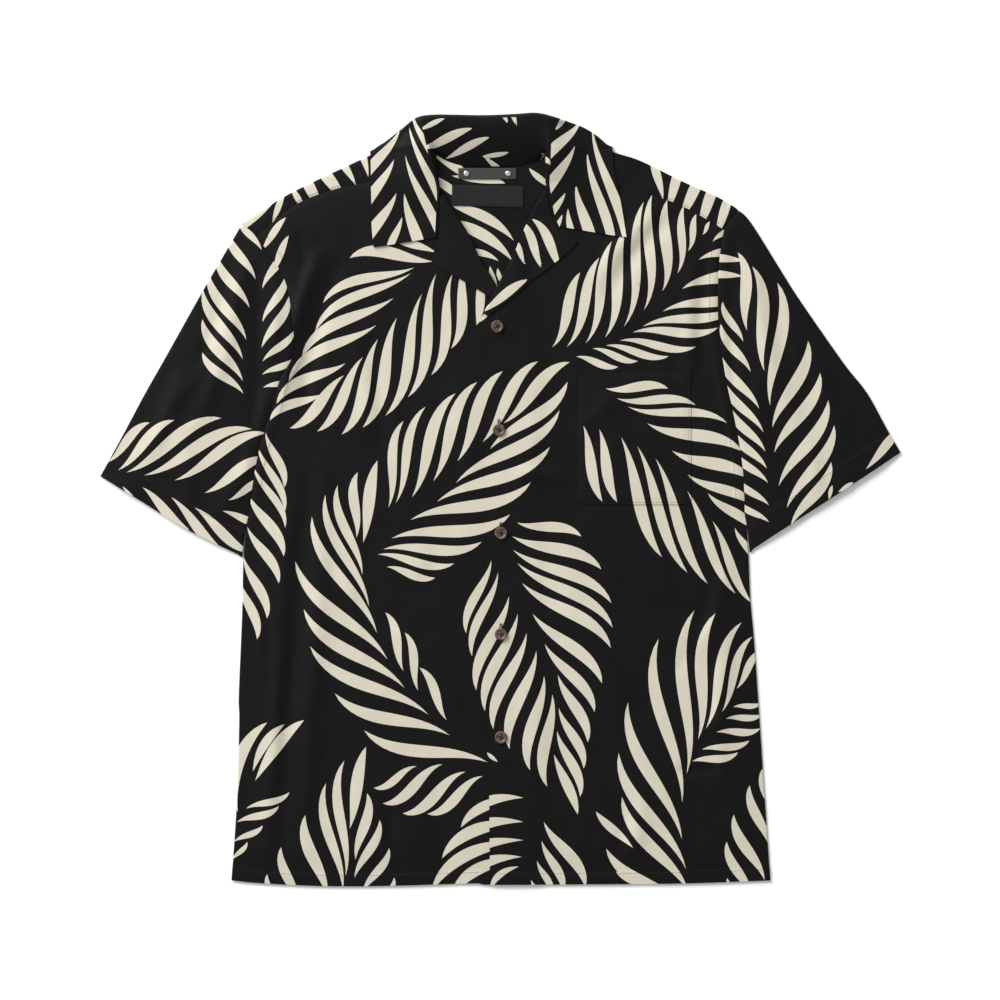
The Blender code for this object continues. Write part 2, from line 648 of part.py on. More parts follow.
def make_lapel(name, table, height):
    """A facing turned back on its front: rolled at its inner edge and flat to its outer edge."""
    last = len(table) - 1
    rows = []
    for step in range(last * LAPEL_STEPS + 1):
        position = step / LAPEL_STEPS

        def read(field):
            return spline_value([getattr(row, field) for row in table], position)

        roll = Vector((read("roll_x"), read("roll_y")))
        edge = Vector((read("edge_x"), read("edge_y")))
        width = (edge - roll).length
        outward = (edge - roll) / width
        bend = min(1.3, width / 2)
        rest = height(roll.x + outward.x * bend, roll.y + outward.y * bend) + LAYER + REST_CLEARANCE
        section = []
        for angle in (-50, 0, 45):
            turn = math.radians(angle)
            place = roll + outward * bend * (1 - math.cos(turn))
            section.append((place.x, place.y, rest - bend + bend * math.sin(turn)))
        for part in (0.0, 0.25, 0.5, 0.75, 1.0):
            place = roll + outward * mix(bend, width, part)
            section.append((place.x, place.y, height(place.x, place.y) + LAYER + REST_CLEARANCE))
        rows.append(section)
    mesh = bmesh.new()
    add_rows(mesh, rows)
    finish(name, mesh, "shirt_cloth", CLOTH)


# ---------------------------------------------------------------- pocket, label, tab, fastenings
def make_pocket():
    outline = reverse([Vector(point) for point in POCKET])
    mesh = bmesh.new()
    dense = []
    for first, second in zip(outline, outline[1:] + outline[:1]):
        dense += even_points([first, second], GRID)[:-1]
    add_sheet(mesh, dense, GRID, lambda x, y: front_left_mid(x, y) + LAYER + REST_CLEARANCE)
    finish("pocket", mesh, "shirt_cloth", CLOTH)


def make_plate(name, finish_name, centre, size, tilt, thickness):
    """A thin flat strip that lies on the inside of the yoke."""
    turn = Vector((math.cos(tilt), math.sin(tilt)))
    across = Vector((-turn.y, turn.x))
    middle = Vector(centre)
    corners = [middle + turn * size[0] * u / 2 + across * size[1] * v / 2
               for u, v in ((-1, -1), (1, -1), (1, 1), (-1, 1))]
    top = max(back_mid(corner.x, corner.y) for corner in corners) + CLOTH / 2
    mesh = bmesh.new()
    add_sheet(mesh, corners, 0, lambda x, y: top + GAP + thickness / 2)
    finish(name, mesh, finish_name, thickness)
    return top + GAP + thickness


def make_rivet(name, centre, base):
    mesh = bmesh.new()
    rings = []
    for angle in (0, 30, 60):
        turn = math.radians(angle)
        rings.append((RIVET_DIAMETER / 2 * math.cos(turn), base + RIVET_HEIGHT * math.sin(turn)))
    add_turned(mesh, centre, rings, RIVET_SIDES, base + RIVET_HEIGHT)
    finish(name, mesh, "rivet_metal")


def add_turned(mesh, centre, rings, sides, top):
    """A turned body with a flat foot at its first ring and one point at its top."""
    loops = []
    for radius, height in rings:
        loop = []
        for side in range(sides):
            turn = 2 * math.pi * side / sides
            loop.append(mesh.verts.new((centre[0] + radius * math.cos(turn),
                                        centre[1] + radius * math.sin(turn), height)))
        loops.append(loop)
    mesh.faces.new(loops[0])
    for lower, upper in zip(loops, loops[1:]):
        for side in range(sides):
            after = (side + 1) % sides
            mesh.faces.new((lower[side], lower[after], upper[after], upper[side]))
    tip = mesh.verts.new((centre[0], centre[1], top))
    for side in range(sides):
        mesh.faces.new((loops[-1][side], loops[-1][(side + 1) % sides], tip))


def make_button(name, centre):
    """A dished disc with a rounded rim and four thread holes, resting on the left front."""
    radius = BUTTON_DIAMETER / 2
    reach = [(centre[0] + radius * math.cos(turn), centre[1] + radius * math.sin(turn))
             for turn in (0, 1.05, 2.09, 3.14, 4.19, 5.24)]
    base = max(front_left_mid(x, y) for x, y in reach + [centre]) + CLOTH / 2 + GAP
    mesh = bmesh.new()
    rings = [(radius - 0.9, base), (radius, base + 1.0), (radius - 0.3, base + 2.1),
             (radius - 1.1, base + BUTTON_THICKNESS), (radius - 2.1, base + 1.9)]
    add_turned(mesh, centre, rings, BUTTON_SIDES, base + BUTTON_DISH)
    button = finish(name, mesh, "button_shell")
    for u, v in ((-1, -1), (1, -1), (1, 1), (-1, 1)):
        hole = bmesh.new()
        bmesh.ops.create_cone(hole, cap_ends=True, segments=8, radius1=BUTTON_HOLE / 2,
                              radius2=BUTTON_HOLE / 2, depth=8.0)
        place = Vector((centre[0] + u * BUTTON_HOLE_SPACING / 2,
                        centre[1] + v * BUTTON_HOLE_SPACING / 2, base))
        bmesh.ops.translate(hole, verts=hole.verts, vec=place)
        cutter = finish(name + "_hole", hole, "button_shell")
        cutter.hide_render = True
        cutter.display_type = "WIRE"
        cut = button.modifiers.new("thread hole", "BOOLEAN")
        cut.operation = "DIFFERENCE"
        cut.object = cutter


def main():
    for item in list(bpy.data.objects):
        bpy.data.objects.remove(item)
    make_finishes()
    make_back()
    make_yoke()
    make_front_right()
    make_front_left()
    make_sleeve("sleeve_right", SLEEVE_OUTER_RIGHT, armhole_right, CUFF_RIGHT, CUFF_RIGHT[-1], -1)
    make_sleeve("sleeve_left", SLEEVE_OUTER_LEFT, armhole_left, CUFF_LEFT, CUFF_LEFT[-1], 1)
    make_collar()
    make_lapel("lapel_right", LAPEL_RIGHT, front_mid)
    make_lapel("lapel_left", LAPEL_LEFT, front_left_mid)
    make_pocket()
    make_plate("label", "label_cloth", LABEL_CENTRE, LABEL_SIZE, LABEL_TILT, LABEL_THICKNESS)
    tab_top = make_plate("tab", "tab_leather", TAB_CENTRE, TAB_SIZE, 0, TAB_THICKNESS)
    for name, centre in RIVET_CENTRES.items():
        make_rivet(name, centre, tab_top + GAP)
    for number, centre in enumerate(BUTTON_CENTRES, 1):
        make_button(f"button_{number}", centre)


main()
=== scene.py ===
"""Palm-leaf shirt with a camp collar, buttoned and laid flat on its back.

Each cloth panel is drawn flat in millimetres with its printed leaves cut into its faces. It is
lifted to the height at which it lies, turned round its folds, and given a thin wall. +X runs to
the wearer's left, +Y to the collar, and +Z up. Outlines and heights are those of the frame's cloth.
"""
import math
import random
from collections import namedtuple

import bmesh
import bpy
import numpy as np
from bpy.props import FloatProperty, FloatVectorProperty, IntProperty, PointerProperty
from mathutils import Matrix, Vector, kdtree, noise
from mathutils.geometry import delaunay_2d_cdt


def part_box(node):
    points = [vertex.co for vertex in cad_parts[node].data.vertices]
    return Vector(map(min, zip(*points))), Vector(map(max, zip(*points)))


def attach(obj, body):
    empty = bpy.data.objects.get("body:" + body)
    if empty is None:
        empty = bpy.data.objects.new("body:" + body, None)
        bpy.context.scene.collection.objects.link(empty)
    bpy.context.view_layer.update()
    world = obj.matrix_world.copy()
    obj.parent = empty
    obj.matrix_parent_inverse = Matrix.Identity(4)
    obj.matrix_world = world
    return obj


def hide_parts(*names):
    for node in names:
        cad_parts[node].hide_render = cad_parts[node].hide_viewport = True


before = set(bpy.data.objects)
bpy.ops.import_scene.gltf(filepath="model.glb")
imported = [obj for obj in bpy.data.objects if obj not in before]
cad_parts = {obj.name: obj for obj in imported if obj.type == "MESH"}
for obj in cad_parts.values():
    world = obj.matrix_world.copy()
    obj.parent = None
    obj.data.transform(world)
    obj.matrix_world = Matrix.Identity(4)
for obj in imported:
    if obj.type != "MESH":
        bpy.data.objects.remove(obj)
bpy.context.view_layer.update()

bl_info = {
    "name": "Palm-leaf camp shirt",
    "version": (1, 0, 0),
    "blender": (4, 5, 0),
    "location": "View3D > Sidebar > Shirt",
    "description": "Builds a short-sleeved printed shirt laid flat, with its stage",
    "category": "Object",
}

MM = 0.001
BOX_CENTRE = np.array([0.0, -0.3, 0.0])     # where the frame's origin lies in the drawing, mm

# ---------------------------------------------------------------- heights and widths, mm
LAYER = 1.3                                 # from one layer of cloth to the next
FLOOR_MID = 0.5                             # middle of the wall of the cloth on the floor
COLLAR_FLOOR_MID = 0.62
FOLD_RADIUS = 0.8
TOP_MID = FLOOR_MID + 2 * FOLD_RADIUS
BODY_PUFF, BODY_PUFF_WIDTH = 1.9, 42.0      # how far the cloth rises, and how far in from its rim
SLEEVE_PUFF, SLEEVE_PUFF_WIDTH = 2.0, 32.0
LOWEST_CREASE = -0.2
REST_CLEARANCE = 0.35
LAPEL_WRAP = 2.6                            # how far a front reaches round its roll
LAPEL_BEND, LAPEL_RADIUS = 1.3, 0.82        # how far the roll reaches sideways and downwards
LAPEL_ROOM = LAYER + 0.7
LAPEL_END, LAPEL_END_SPREAD, LAPEL_END_FULL = (-2, 208), 26.0, 1.25
LAPEL_STEPS, LAPEL_COLUMNS = 8, 3           # rows from line to line, columns in each part
OVERLAP_BLEND = (14.0, 34.0)
OPENING_TOP = (50, 340)                     # where the edge of the left front ends at the neck
SHARPNESS = 3                               # of the bend where a trough is held up
SLEEVE_HEAD_EASE = 9.0                      # creases fade out this near to the armhole
BACK_HEM_Y = -397.5
BACK_SEAM_Y = 249.5
LEFT_ROLL_FOOT_Y = 194
SEAM_GAP = 0.03
SIDE_TURN = math.radians(112)
SEAM_HALF_WIDTH = 1.8                       # of the groove along a seam
SEAM_GUIDE = 2.0
ARMHOLE_BAND = 10.0
HEM_BAND = 12.6
CUFF_BAND = 24.0
BAND_EDGE = 0.6                             # half the width of the step beside a band
POCKET_GAP, POCKET_PUFF = 0.95, 0.7
POCKET_EASE = (1.0, 5.0)                    # the pocket puffs up this far in from its edge
POCKET_SEAM = 2.2
POCKET_HEM = [(83.5, 110.5), (197.5, 110.5)]
POCKET_OPENING = 120                        # the edge above this isn't sewn down
TOPSTITCH = 1.9                             # how far in from a seam its topstitching runs
BAND_STITCH = 1.0                           # how far inside a band's edge its stitches run
STITCH_BREAK = (-14, -8)                    # the hem's stitches stop here for the opening
THREAD_RADIUS, THREAD_LIFT = 0.24, 0.04
BUTTONHOLE_LIFT, BUTTONHOLE_UP = 0.10, 2.3  # off its cloth, and up the front from its button
SATIN_PITCH, SATIN_RADIUS = 0.55, 0.3
SATIN_ENDS = [(0.25, 2.2), (1.65, 2.4)]     # of a satin stitch: aside from the slot, and up
BAR_TACK_REACH, BAR_TACK_RADIUS = 1.6, 0.42
COLLAR_STEPS, COLLAR_COLUMNS = 12, 11       # rows from station to station, columns in each part
FALL_COLUMN = 4.2                           # from here on the collar's section is its fall
FALL_LIES = (8.0, 28.0)                     # widths between which the fall comes to lie flat
FALL_TURN = 0.4                             # share of its under side that the fold takes up
BUTTON_TURN = 0.21                          # radians, more for each button down the front
BUTTON_THICKNESS = 2.1 * MM
BUTTON_FACE = [(0.7, 0.5), (0.9, 0.0), (0.8, -0.75), (1.2, -0.1)]   # from the rim: in and up, mm
BUTTON_FOOT, BUTTON_ROUNDING = 0.8 * MM, 0.45 * MM
CROSS_HEIGHTS = (2.45, 2.8)                 # of a button's two crossed pairs of thread
CROSS_RISE = [(1.0, 0.6), (0.98, 1.5), (0.82, 2.1)]     # part of the way to a hole, height
CROSS_HALF_GAP = 0.19
LABEL_SIZE, LABEL_TILT, LABEL_CURL = (75 * MM, 22 * MM), math.radians(-1.5), 0.35 * MM
LABEL_THICKNESS, LABEL_TACK_IN = 0.6 * MM, (2.2, 3.4)
TAB_SIZE, TAB_THICKNESS = (61 * MM, 11.6 * MM), 1.1 * MM
RIVET_RADIUS, RIVET_HEIGHT = 3.0 * MM, 1.15 * MM
WEAVE_PITCH, RIB_PITCH = 0.6 * MM, 0.55 * MM
PICTURE_GAP, PICTURE_SHARE = 6.0, 0.98      # between sheets on the baked picture; how full it is
FINE_LINE_STEP, LINE_STEP, LONG_LINE_STEP = 4.0, 5.0, 6.0      # between the points of an outline
CURVE_STEPS = 12
CLOTH_EDGE, HARD_EDGE = math.radians(38), math.radians(35)      # steeper edges stay sharp
FLOOR_WIDTH, LAMP_PLACE, LAMP_SIZE = 12.0, (-3.6, 3.8, 3.2), (4.4, 3.0)     # metres

# ---------------------------------------------------------------- outlines: x, y in mm
SHOULDER_RIGHT = [(-80.5, 386), (-137, 360), (-221, 320), (-270.5, 288.5)]
SHOULDER_LEFT = [(57, 388), (114, 365), (146.5, 354.5), (191.5, 332.5), (228.5, 316), (249.5, 303)]
ARMHOLE_RIGHT = [(-270.5, 288.5), (-256, 276), (-237, 249.5), (-225.5, 228), (-219.5, 200),
                 (-216, 162), (-219, 147), (-231.5, 124), (-238.5, 98), (-248.5, 69),
                 (-257, 35), (-264, -15)]
ARMHOLE_LEFT = [(249.5, 303), (235, 283), (229.5, 249.5), (228, 220), (228.5, 186),
                (231.5, 158), (237, 124), (243.5, 94), (251, 56), (255, 23), (256.5, -18)]
YOKE_SEAM_RIGHT = [
    (-73, 353.5), (-142.5, 333), (-170, 327), (-208, 313.5), (-237, 293), (-256, 276),
]
YOKE_SEAM_LEFT = [(52, 346), (132, 325.5), (170.5, 316), (199, 304), (235, 283)]
NECK_BACK = [
    (-80.5, 386), (-73.5, 368), (-61, 357.8), (-52, 353.8), (-43, 351.1), (-31, 349.2),
    (-14, 348.8), (7, 348.8), (20, 350.2), (31, 352.7), (41, 356.2), (49.5, 366), (57, 388),
]
SIDE_RIGHT = [(-264, -15), (-268.5, -60), (-270, -121), (-273.5, -206), (-273, -232),
              (-275.5, -316), (-281, -399.5)]
SIDE_LEFT = [(256.5, -18), (259, -55), (261, -103), (265, -148.5), (269.5, -212.5),
             (274, -280), (282, -399.5)]
HEM = [(-281, -399.5), (-249.5, -402.5), (-182, -405.5), (-109.5, -405), (-27, -402.5), (-11, -404),
       (104.5, -403.5), (200, -402.5), (282, -399.5)]
UNDER_EDGE = [(2, 205), (14.5, 184), (16, 120), (16.5, -120), (17.5, -402)]
OPENING_EDGE = [(-19.5, 191), (-18.5, 150), (-17, 60), (-14.5, -120), (-12, -300), (-11, -404)]
ROLL_RIGHT = [
    (-80.5, 386), (-75, 368), (-73, 353.5), (-67, 338), (-62, 322), (-51, 305), (-41.5, 291),
    (-32, 275), (-21.5, 252), (-13, 239), (-3.5, 222.5), (2, 205),
]
ROLL_LEFT = [
    (57, 388), (52.5, 368), (52, 346), (48.5, 328.5), (36, 306.5), (25.5, 284.5), (15, 259),
    (4.5, 239), (-3.5, 222.5), (-12, 206), (-19.5, 191),
]
SLEEVE_OUTER_RIGHT = [(-270.5, 288.5), (-294.5, 247.5), (-313.5, 215), (-351, 148), (-372, 111),
                      (-396.5, 65), (-419, 24)]
SLEEVE_OUTER_LEFT = [
    (249.5, 303), (262, 290), (290.5, 244.5), (309, 215), (338.5, 172), (363, 137.5), (384, 111),
    (405, 73), (419, 49),
]
CUFF_RIGHT = [(-419, 24), (-379.5, 0), (-329, -31), (-270, -60)]
CUFF_LEFT = [(419, 49), (370, 16.5), (346, 1), (293.5, -33), (260.5, -55)]
UNDERARM_CLEARANCE = 1.6

# Lapels: a point on the roll and one on the free or gorge edge, row by row.
LAPEL_RIGHT = [(-61.0, 320, -63.2, 318), (-51, 305, -64.2, 297), (-41.5, 291, -66.0, 273),
               (-32, 275, -71, 249), (-21.5, 252, -53, 237.5), (-13, 239, -34, 226.5),
               (-5, 225, -16, 215.5), (0.5, 212, -4, 208)]
LAPEL_LEFT = [(46.6, 324, 48.2, 321.5), (36, 306.5, 53.3, 298), (30.5, 295, 59.0, 284.8),
              (25.5, 284.5, 65, 275.5), (21, 274, 80.5, 271), (15, 259, 64.5, 254.5),
              (9.5, 248, 46.5, 240), (4.5, 239, 29, 227), (-3.5, 222.5, 14, 213),
              (-12, 206, -1.5, 201.5), (-17.5, 195, -14, 192.8)]

# Collar, from its right front end round the neck: neck x, y, z, roll x, y, rise of the roll,
# fold x, y, free edge x, y, and 1 where the fall has turned under the back.
COLLAR = [
    (-67.4, 275, 5.3, -67.4, 275, 0.0, -122, 266, -133, 264.5, 0),
    (-66.0, 299, 5.3, -66.0, 299, 0.0, -124, 289, -135, 286, 0),
    (-63.8, 322, 5.9, -65.0, 322, 1.4, -124, 311, -135.3, 309, 0),
    (-65.2, 338, 3.6, -68.0, 338, 4.2, -125, 332, -135.7, 331, 0),
    (-67.6, 353, 3.5, -72.5, 354, 8.0, -126, 351, -136, 350, 0),
    (-67.2, 361, 3.4, -74.5, 363, 10.0, -128, 363.5, -136.4, 362.2, 0),
    (-66.4, 364.4, 2.7, -76.0, 370, 11.0, -131, 367, -136.8, 364.6, 0.5),
    (-65.2, 364.2, 2.0, -77.0, 373, 11.3, -128.5, 370.0, -135.6, 365.2, 1),
    (-63.6, 362.6, 1.8, -78.4, 379, 11.7, -119.0, 376.2, -133, 359, 1),
    (-61.0, 359.2, 1.8, -80.5, 387, 12.2, -102.5, 389, -120, 350, 1),
    (-52.0, 355.2, 1.8, -80.5, 396, 12.4, -87.5, 399.5, -92, 342, 1),
    (-43.0, 352.5, 1.8, -69.0, 398, 12.0, -71, 402.5, -64, 338, 1),
    (-31.0, 350.6, 1.8, -47.0, 397.8, 11.6, -48, 402.4, -40, 336.5, 1),
    (-14.0, 350.2, 1.8, -16.5, 397.4, 11.4, -16.5, 401.9, -14, 336, 1),
    (7.0, 350.2, 1.8, 14.0, 398.6, 11.6, 15, 403.1, 11, 336.5, 1),
    (20.0, 351.6, 1.8, 35.0, 399.6, 12.0, 37.5, 404.4, 35, 338.5, 1),
    (31.0, 354.1, 1.8, 48.5, 394.5, 12.4, 56, 400.4, 64, 344, 1),
    (41.0, 357.6, 1.8, 50.8, 383.5, 12.2, 83.5, 391.5, 97, 352, 1),
    (43.6, 361.4, 1.8, 51.2, 375, 11.7, 99, 382.5, 112.5, 361.5, 1),
    (45.2, 363.4, 2.0, 51.2, 370, 11.3, 109, 374.0, 116.8, 369.8, 1),
    (46.2, 363.6, 2.7, 51.2, 366, 11.0, 112, 370.5, 117.6, 368.2, 0.5),
    (47.4, 359.5, 3.4, 51.0, 359, 10.0, 109, 365.5, 117.6, 365.9, 0),
    (47.6, 348, 3.5, 50.6, 348.5, 8.0, 109, 350.5, 118.4, 350.5, 0),
    (47.4, 337, 3.6, 49.8, 337.5, 4.2, 111, 336, 121.5, 335, 0),
    (48.6, 327.5, 6.0, 50.0, 327.5, 1.4, 113.5, 321.5, 124.5, 320, 0),
    (54.9, 299, 5.3, 54.9, 299, 0.0, 117, 301, 128, 301, 0),
    (59.9, 286.6, 5.3, 59.9, 286.6, 0.0, 121, 276.5, 132, 275, 0),
]
NECK_LIFT_CENTRE = (-10.5, 372)
NECK_LIFT_RADII = (136, 64)
NECK_LIFT_FADE = 0.28

# Creases: start x, y, end x, y, sideways swing, width, height (below 0 a trough).
BODY_CREASES = [
    (-198, 50, -231, -398, -4, 8, -2.8), (-182, 40, -208, -385, 0, 9, 2.4),
    (-224, -20, -251, -380, 4, 8, 2.0), (-186, 268, -232, 88, -8, 8, 4.8),
    (-166, 258, -208, 78, -8, 7, -3.4), (-212, 284, -204, 240, 0, 5, -2.2),
    (-222, 205, -214, 110, -3, 6, 1.5), (-160, 190, -140, 60, 8, 9, 1.6),
    (-146, 170, -124, 40, 8, 8, -1.4), (172, 310, 96, 222, -6, 9, 3.2),
    (184, 298, 110, 208, -6, 8, -2.4), (214, 262, 214, 130, -4, 6, -2.2),
    (200, 250, 202, 110, -4, 7, 2.0), (150, 130, 80, 60, -6, 11, 1.8), (16, 30, 78, 12, 4, 6, 2.0),
    (240, -50, 196, -170, 10, 10, 2.6), (224, -70, 178, -190, 10, 8, -1.8),
    (246, -110, 232, -300, -8, 9, 2.4), (262, -75, 256, -140, 0, 6, -1.8),
    (252, -215, 208, -268, -6, 8, 2.2), (240, -232, 200, -280, -6, 6, -1.8),
    (182, -288, 230, -283, 2, 4, -2.2), (150, -300, 128, -390, 6, 9, 2.0),
    (132, -310, 112, -385, 6, 7, -1.6), (-118, -310, -114, -372, 1, 5, -1.8),
    (-72, -290, -62, -398, 4, 14, -1.8), (-150, 20, -80, -80, 14, 12, 2.0),
    (-120, -130, -40, -230, 10, 12, 2.0), (-60, 150, -30, 20, 6, 12, 1.6),
    (60, -110, 130, -230, 12, 12, 2.0), (-262, -60, -254, -230, 4, 6, 1.8),
    (20, -180, 50, -300, 6, 12, 1.6), (-170, -280, -120, -390, 8, 11, 1.8),
    (-150, 300, -60, 150, -6, 5, 1.0), (120, 300, 190, 180, 5, 5, 0.9),
    (-180, -40, -140, -180, 5, 5, 1.1), (-90, -60, -10, -110, 4, 5, 1.0),
    (40, -20, 120, -60, -4, 5, 0.9), (100, -220, 180, -330, 6, 5, 1.1),
    (-170, -250, -90, -340, -6, 5, 0.9), (20, -260, 60, -380, 4, 5, 0.9),
    (180, 60, 240, -20, 4, 5, 1.1), (-250, -60, -236, -170, 4, 4, 1.0),
    (-140, 30, -90, -10, 5, 4, 0.8), (90, 210, 160, 165, -5, 4, 0.8),
    (150, -30, 180, -110, 4, 5, 1.0), (-100, 240, -70, 170, 4, 5, 0.9),
]
SLEEVE_CREASES = [
    (-256, 258, -262, 30, 4, 6, -2.4), (-270, 262, -322, 70, 10, 9, 2.8),
    (-246, 120, -296, -20, 10, 9, 2.2), (-290, 240, -318, 140, 4, 6, -1.8),
    (-330, 150, -380, 30, 6, 9, 2.0), (-246, 30, -276, -34, -4, 6, -1.8),
    (-340, 90, -330, -10, 6, 9, 1.6), (-236, 236, -240, 150, 3, 5, 1.8),
    (240, 236, 254, -20, -4, 6, -2.4), (249, 285, 244, 240, 0, 5, -2.0),
    (262, 272, 318, 60, -12, 9, 2.8), (268, 140, 296, 0, -8, 9, 2.4),
    (284, 250, 306, 150, -4, 6, -1.6), (330, 160, 372, 40, -6, 9, 2.0),
    (318, 70, 330, -10, 4, 8, 1.6), (-280, 200, -350, 90, 6, 5, 1.0),
    (290, 200, 345, 100, -6, 5, 1.0), (344, 30, 372, -4, 3, 5, 1.0),
]
# Ripples: size across and along, level in the noise, share of the height.
RIPPLES = [(62, 74, 0.3, 1.0), (21, 26, 7.1, 0.7), (8, 9, 3.7, 0.14)]

BUTTON_CENTRES = [(-3.5, 181.5), (-1.5, 73), (0.5, -35), (0.5, -141), (0.5, -249)]
POCKET = [(81, 134), (199.5, 134), (199.5, -2), (190, -5), (90, -5), (81, -2)]

# ---------------------------------------------------------------- printed palm leaves
# A row of leaflets along one side of a rib: how far they swing out and back, above 0 on the left of
# the rib, how far they bow in degrees, and root x, y and tip x, y of each. Where a count is given,
# the ends are those of a few of them, evenly spread along the row.
Row = namedtuple("Row", "swing bow keys count", defaults=(0,))
LEAF_STEPS = 16
LEAF_HEADING = (-13.9, 133.6, -158.6)       # degrees: at the root, by the part run, by its square
LEAF_WIDEST = 12.9
LEAF_WIDTH, LEAF_SPREAD = 2.2, 0.122        # width of the shortest, and what each mm of length adds
LEAF_STOUTEST = 0.4                         # widest for its length
LEAF_BELLY, LEAF_FULLNESS = 1.18, 0.8       # where it is widest, and how full its ends are
LEAF_REACH = 6.0                            # how far round a leaflet its depth is measured
LEAF_ROOM_USED, LEAF_ROOM_ALONE = 0.72, 50.0
LEAF_CLEARANCE = 2.5
LEAF_SHAKE = 0.7                            # how far the ends stray from their row
RIB_HALF_WIDTH = 3.2
FROND_SWING, FROND_LEAFLETS, SINGLE_SWING = 0.8, 9, 0.3
OPENING_DROP = 3.8
THIN_TIP = 0.45
FRONT_ROWS = [
    Row(0.8, 0, [(-36, 250, -52, 158), (-50, 237, -72, 131), (-68, 237, -97, 108),
        (-82, 216, -121, 88), (-108, 191, -144, 75), (-129, 168, -167, 68), (-145, 149, -192, 71),
        (-164, 130, -221, 75)]),
    Row(-0.8, 8, [(-71, 250, -158, 254), (-91, 243, -187, 206), (-94, 237, -194, 176),
        (-112, 212, -208, 149), (-130, 183, -222, 124), (-162, 143, -234, 101),
        (-186, 111, -241, 83)]),
    Row(0.8, 0, [(-118, -8, -102, 82), (-109, -3, -79, 97), (-93, 3, -47, 111), (-71, 19, -24, 123),
        (-45, 40, 3, 134), (-19, 60, 40, 145), (3, 80, 73, 144)]),
    Row(-0.8, 0, [(-119, -70, -68, -82), (-128, -57, -48, -67), (-123, -52, -19, -44),
        (-114, -40, 11, -16), (-94, -21, 32, 18), (-66, -2, 52, 55), (-46, 18, 62, 93),
        (-11, 53, 70, 124)]),
    Row(0.8, 14, [(55, 160, 83, 238), (70, 160, 103, 254), (89, 164, 117, 271),
        (110, 170, 132, 285), (130, 181, 150, 313), (150, 199, 159, 320), (170, 219, 175, 315),
        (185, 238, 192, 309), (197, 261, 206, 300), (212, 278, 219, 291)]),
    Row(-0.8, -4, [(80, 150, 124, 139), (97, 158, 144, 146), (111, 162, 176, 151),
        (125, 167, 205, 160), (139, 175, 228, 180), (149, 181, 249, 203), (170, 197, 264, 222),
        (191, 221, 272, 250), (208, 251, 272, 273), (223, 271, 246, 292)]),
    Row(0.8, 4, [(110, 116, 175, 116), (122, 106, 204, 99), (134, 97, 238, 81), (153, 80, 254, 50),
        (180, 52, 264, 21), (196, 26, 269, -9), (217, 7, 268, -36), (246, -29, 264, -65)]),
    Row(-0.5, 0, [(87, 78, 107, -2), (104, 74, 123, -3), (127, 66, 169, -60), (143, 56, 196, -77),
        (163, 43, 217, -88), (195, 10, 246, -98), (222, -22, 264, -108)]),
    Row(0.8, 0, [(-14, -275, -143, -242), (-53, -247, -173, -203), (-76, -225, -199, -153),
        (-101, -197, -207, -115), (-118, -168, -216, -65), (-130, -140, -198, -18),
        (-138, -112, -183, 5), (-145, -78, -171, 15), (-151, -40, -150, 29)]),
    Row(-0.8, 0, [(-57, -231, -85, -176), (-87, -200, -101, -139), (-102, -180, -121, -118)]),
    Row(0.8, 0, [(18, -24, 85, -39), (12, -39, 106, -73), (13, -53, 117, -108),
        (18, -66, 118, -135), (23, -88, 116, -155), (33, -119, 107, -192), (47, -151, 99, -222),
        (61, -184, 92, -254), (61, -219, 87, -282), (59, -243, 83, -311)]),
    Row(-0.8, 0, [(-9, -64, -36, -140), (-3, -76, -30, -164), (9, -101, -25, -200),
        (18, -120, -16, -222), (28, -140, -7, -241), (37, -158, 9, -261), (46, -184, 31, -283),
        (54, -204, 49, -301)]),
    Row(0.8, 0, [(201, -433, 111, -365), (197, -411, 128, -312), (194, -387, 124, -265),
        (191, -356, 134, -212), (190, -317, 166, -146), (195, -287, 203, -116),
        (207, -252, 225, -119), (215, -240, 253, -129), (232, -222, 265, -144),
        (248, -198, 275, -158)]),
    Row(-0.8, 0, [(201, -275, 249, -265), (211, -262, 261, -253), (226, -244, 272, -240),
        (236, -229, 275, -225), (244, -218, 274, -213)]),
    Row(0.1, -34, [(-276, -328, -245, -233)]),
    Row(0.1, -20, [(-260, -285, -227, -235)]),
    Row(0.2, -12, [(-257, -295, -206, -231)]),
    Row(-0.8, 0, [(-281, -377, -266, -359), (-280, -359, -249, -342), (-276, -339, -232, -322),
        (-267, -324, -222, -307)]),
    Row(0.8, 0, [(-236, -426, -245, -393), (-211, -426, -230, -365), (-182, -418, -204, -331),
        (-165, -410, -183, -298), (-162, -395, -164, -273)]),
    Row(-0.8, 0, [(-124, -426, -112, -397), (-145, -412, -117, -365), (-153, -396, -127, -335),
        (-152, -377, -140, -307)]),
    Row(1.2, 6, [(-18, -290, -77, -330), (-37, -286, -102, -329), (-61, -277, -123, -318),
        (-88, -280, -133, -302)]),
    Row(0.8, 0, [(46, -338, 89, -406), (43, -357, 66, -412), (38, -378, 54, -415),
        (32, -399, 41, -420)]),
    Row(0.8, 0, [(260, -426, 238, -397), (264, -418, 238, -359), (277, -399, 245, -330),
        (282, -364, 262, -300), (285, -331, 275, -281)]),
    Row(0.8, 0, [(-246, 70, -227, 12), (-254, 56, -227, -13), (-260, 36, -226, -30),
        (-264, 5, -227, -60), (-266, -29, -233, -88), (-270, -60, -245, -124),
        (-274, -84, -255, -147)]),
]
OPENING_ROWS = [
    Row(-0.2, 32, [(24, -312, -41, -340), (24, -337, -61, -373), (24, -357, -72, -406),
        (22, -374, -51, -413), (19, -384, -11, -408)]),
]
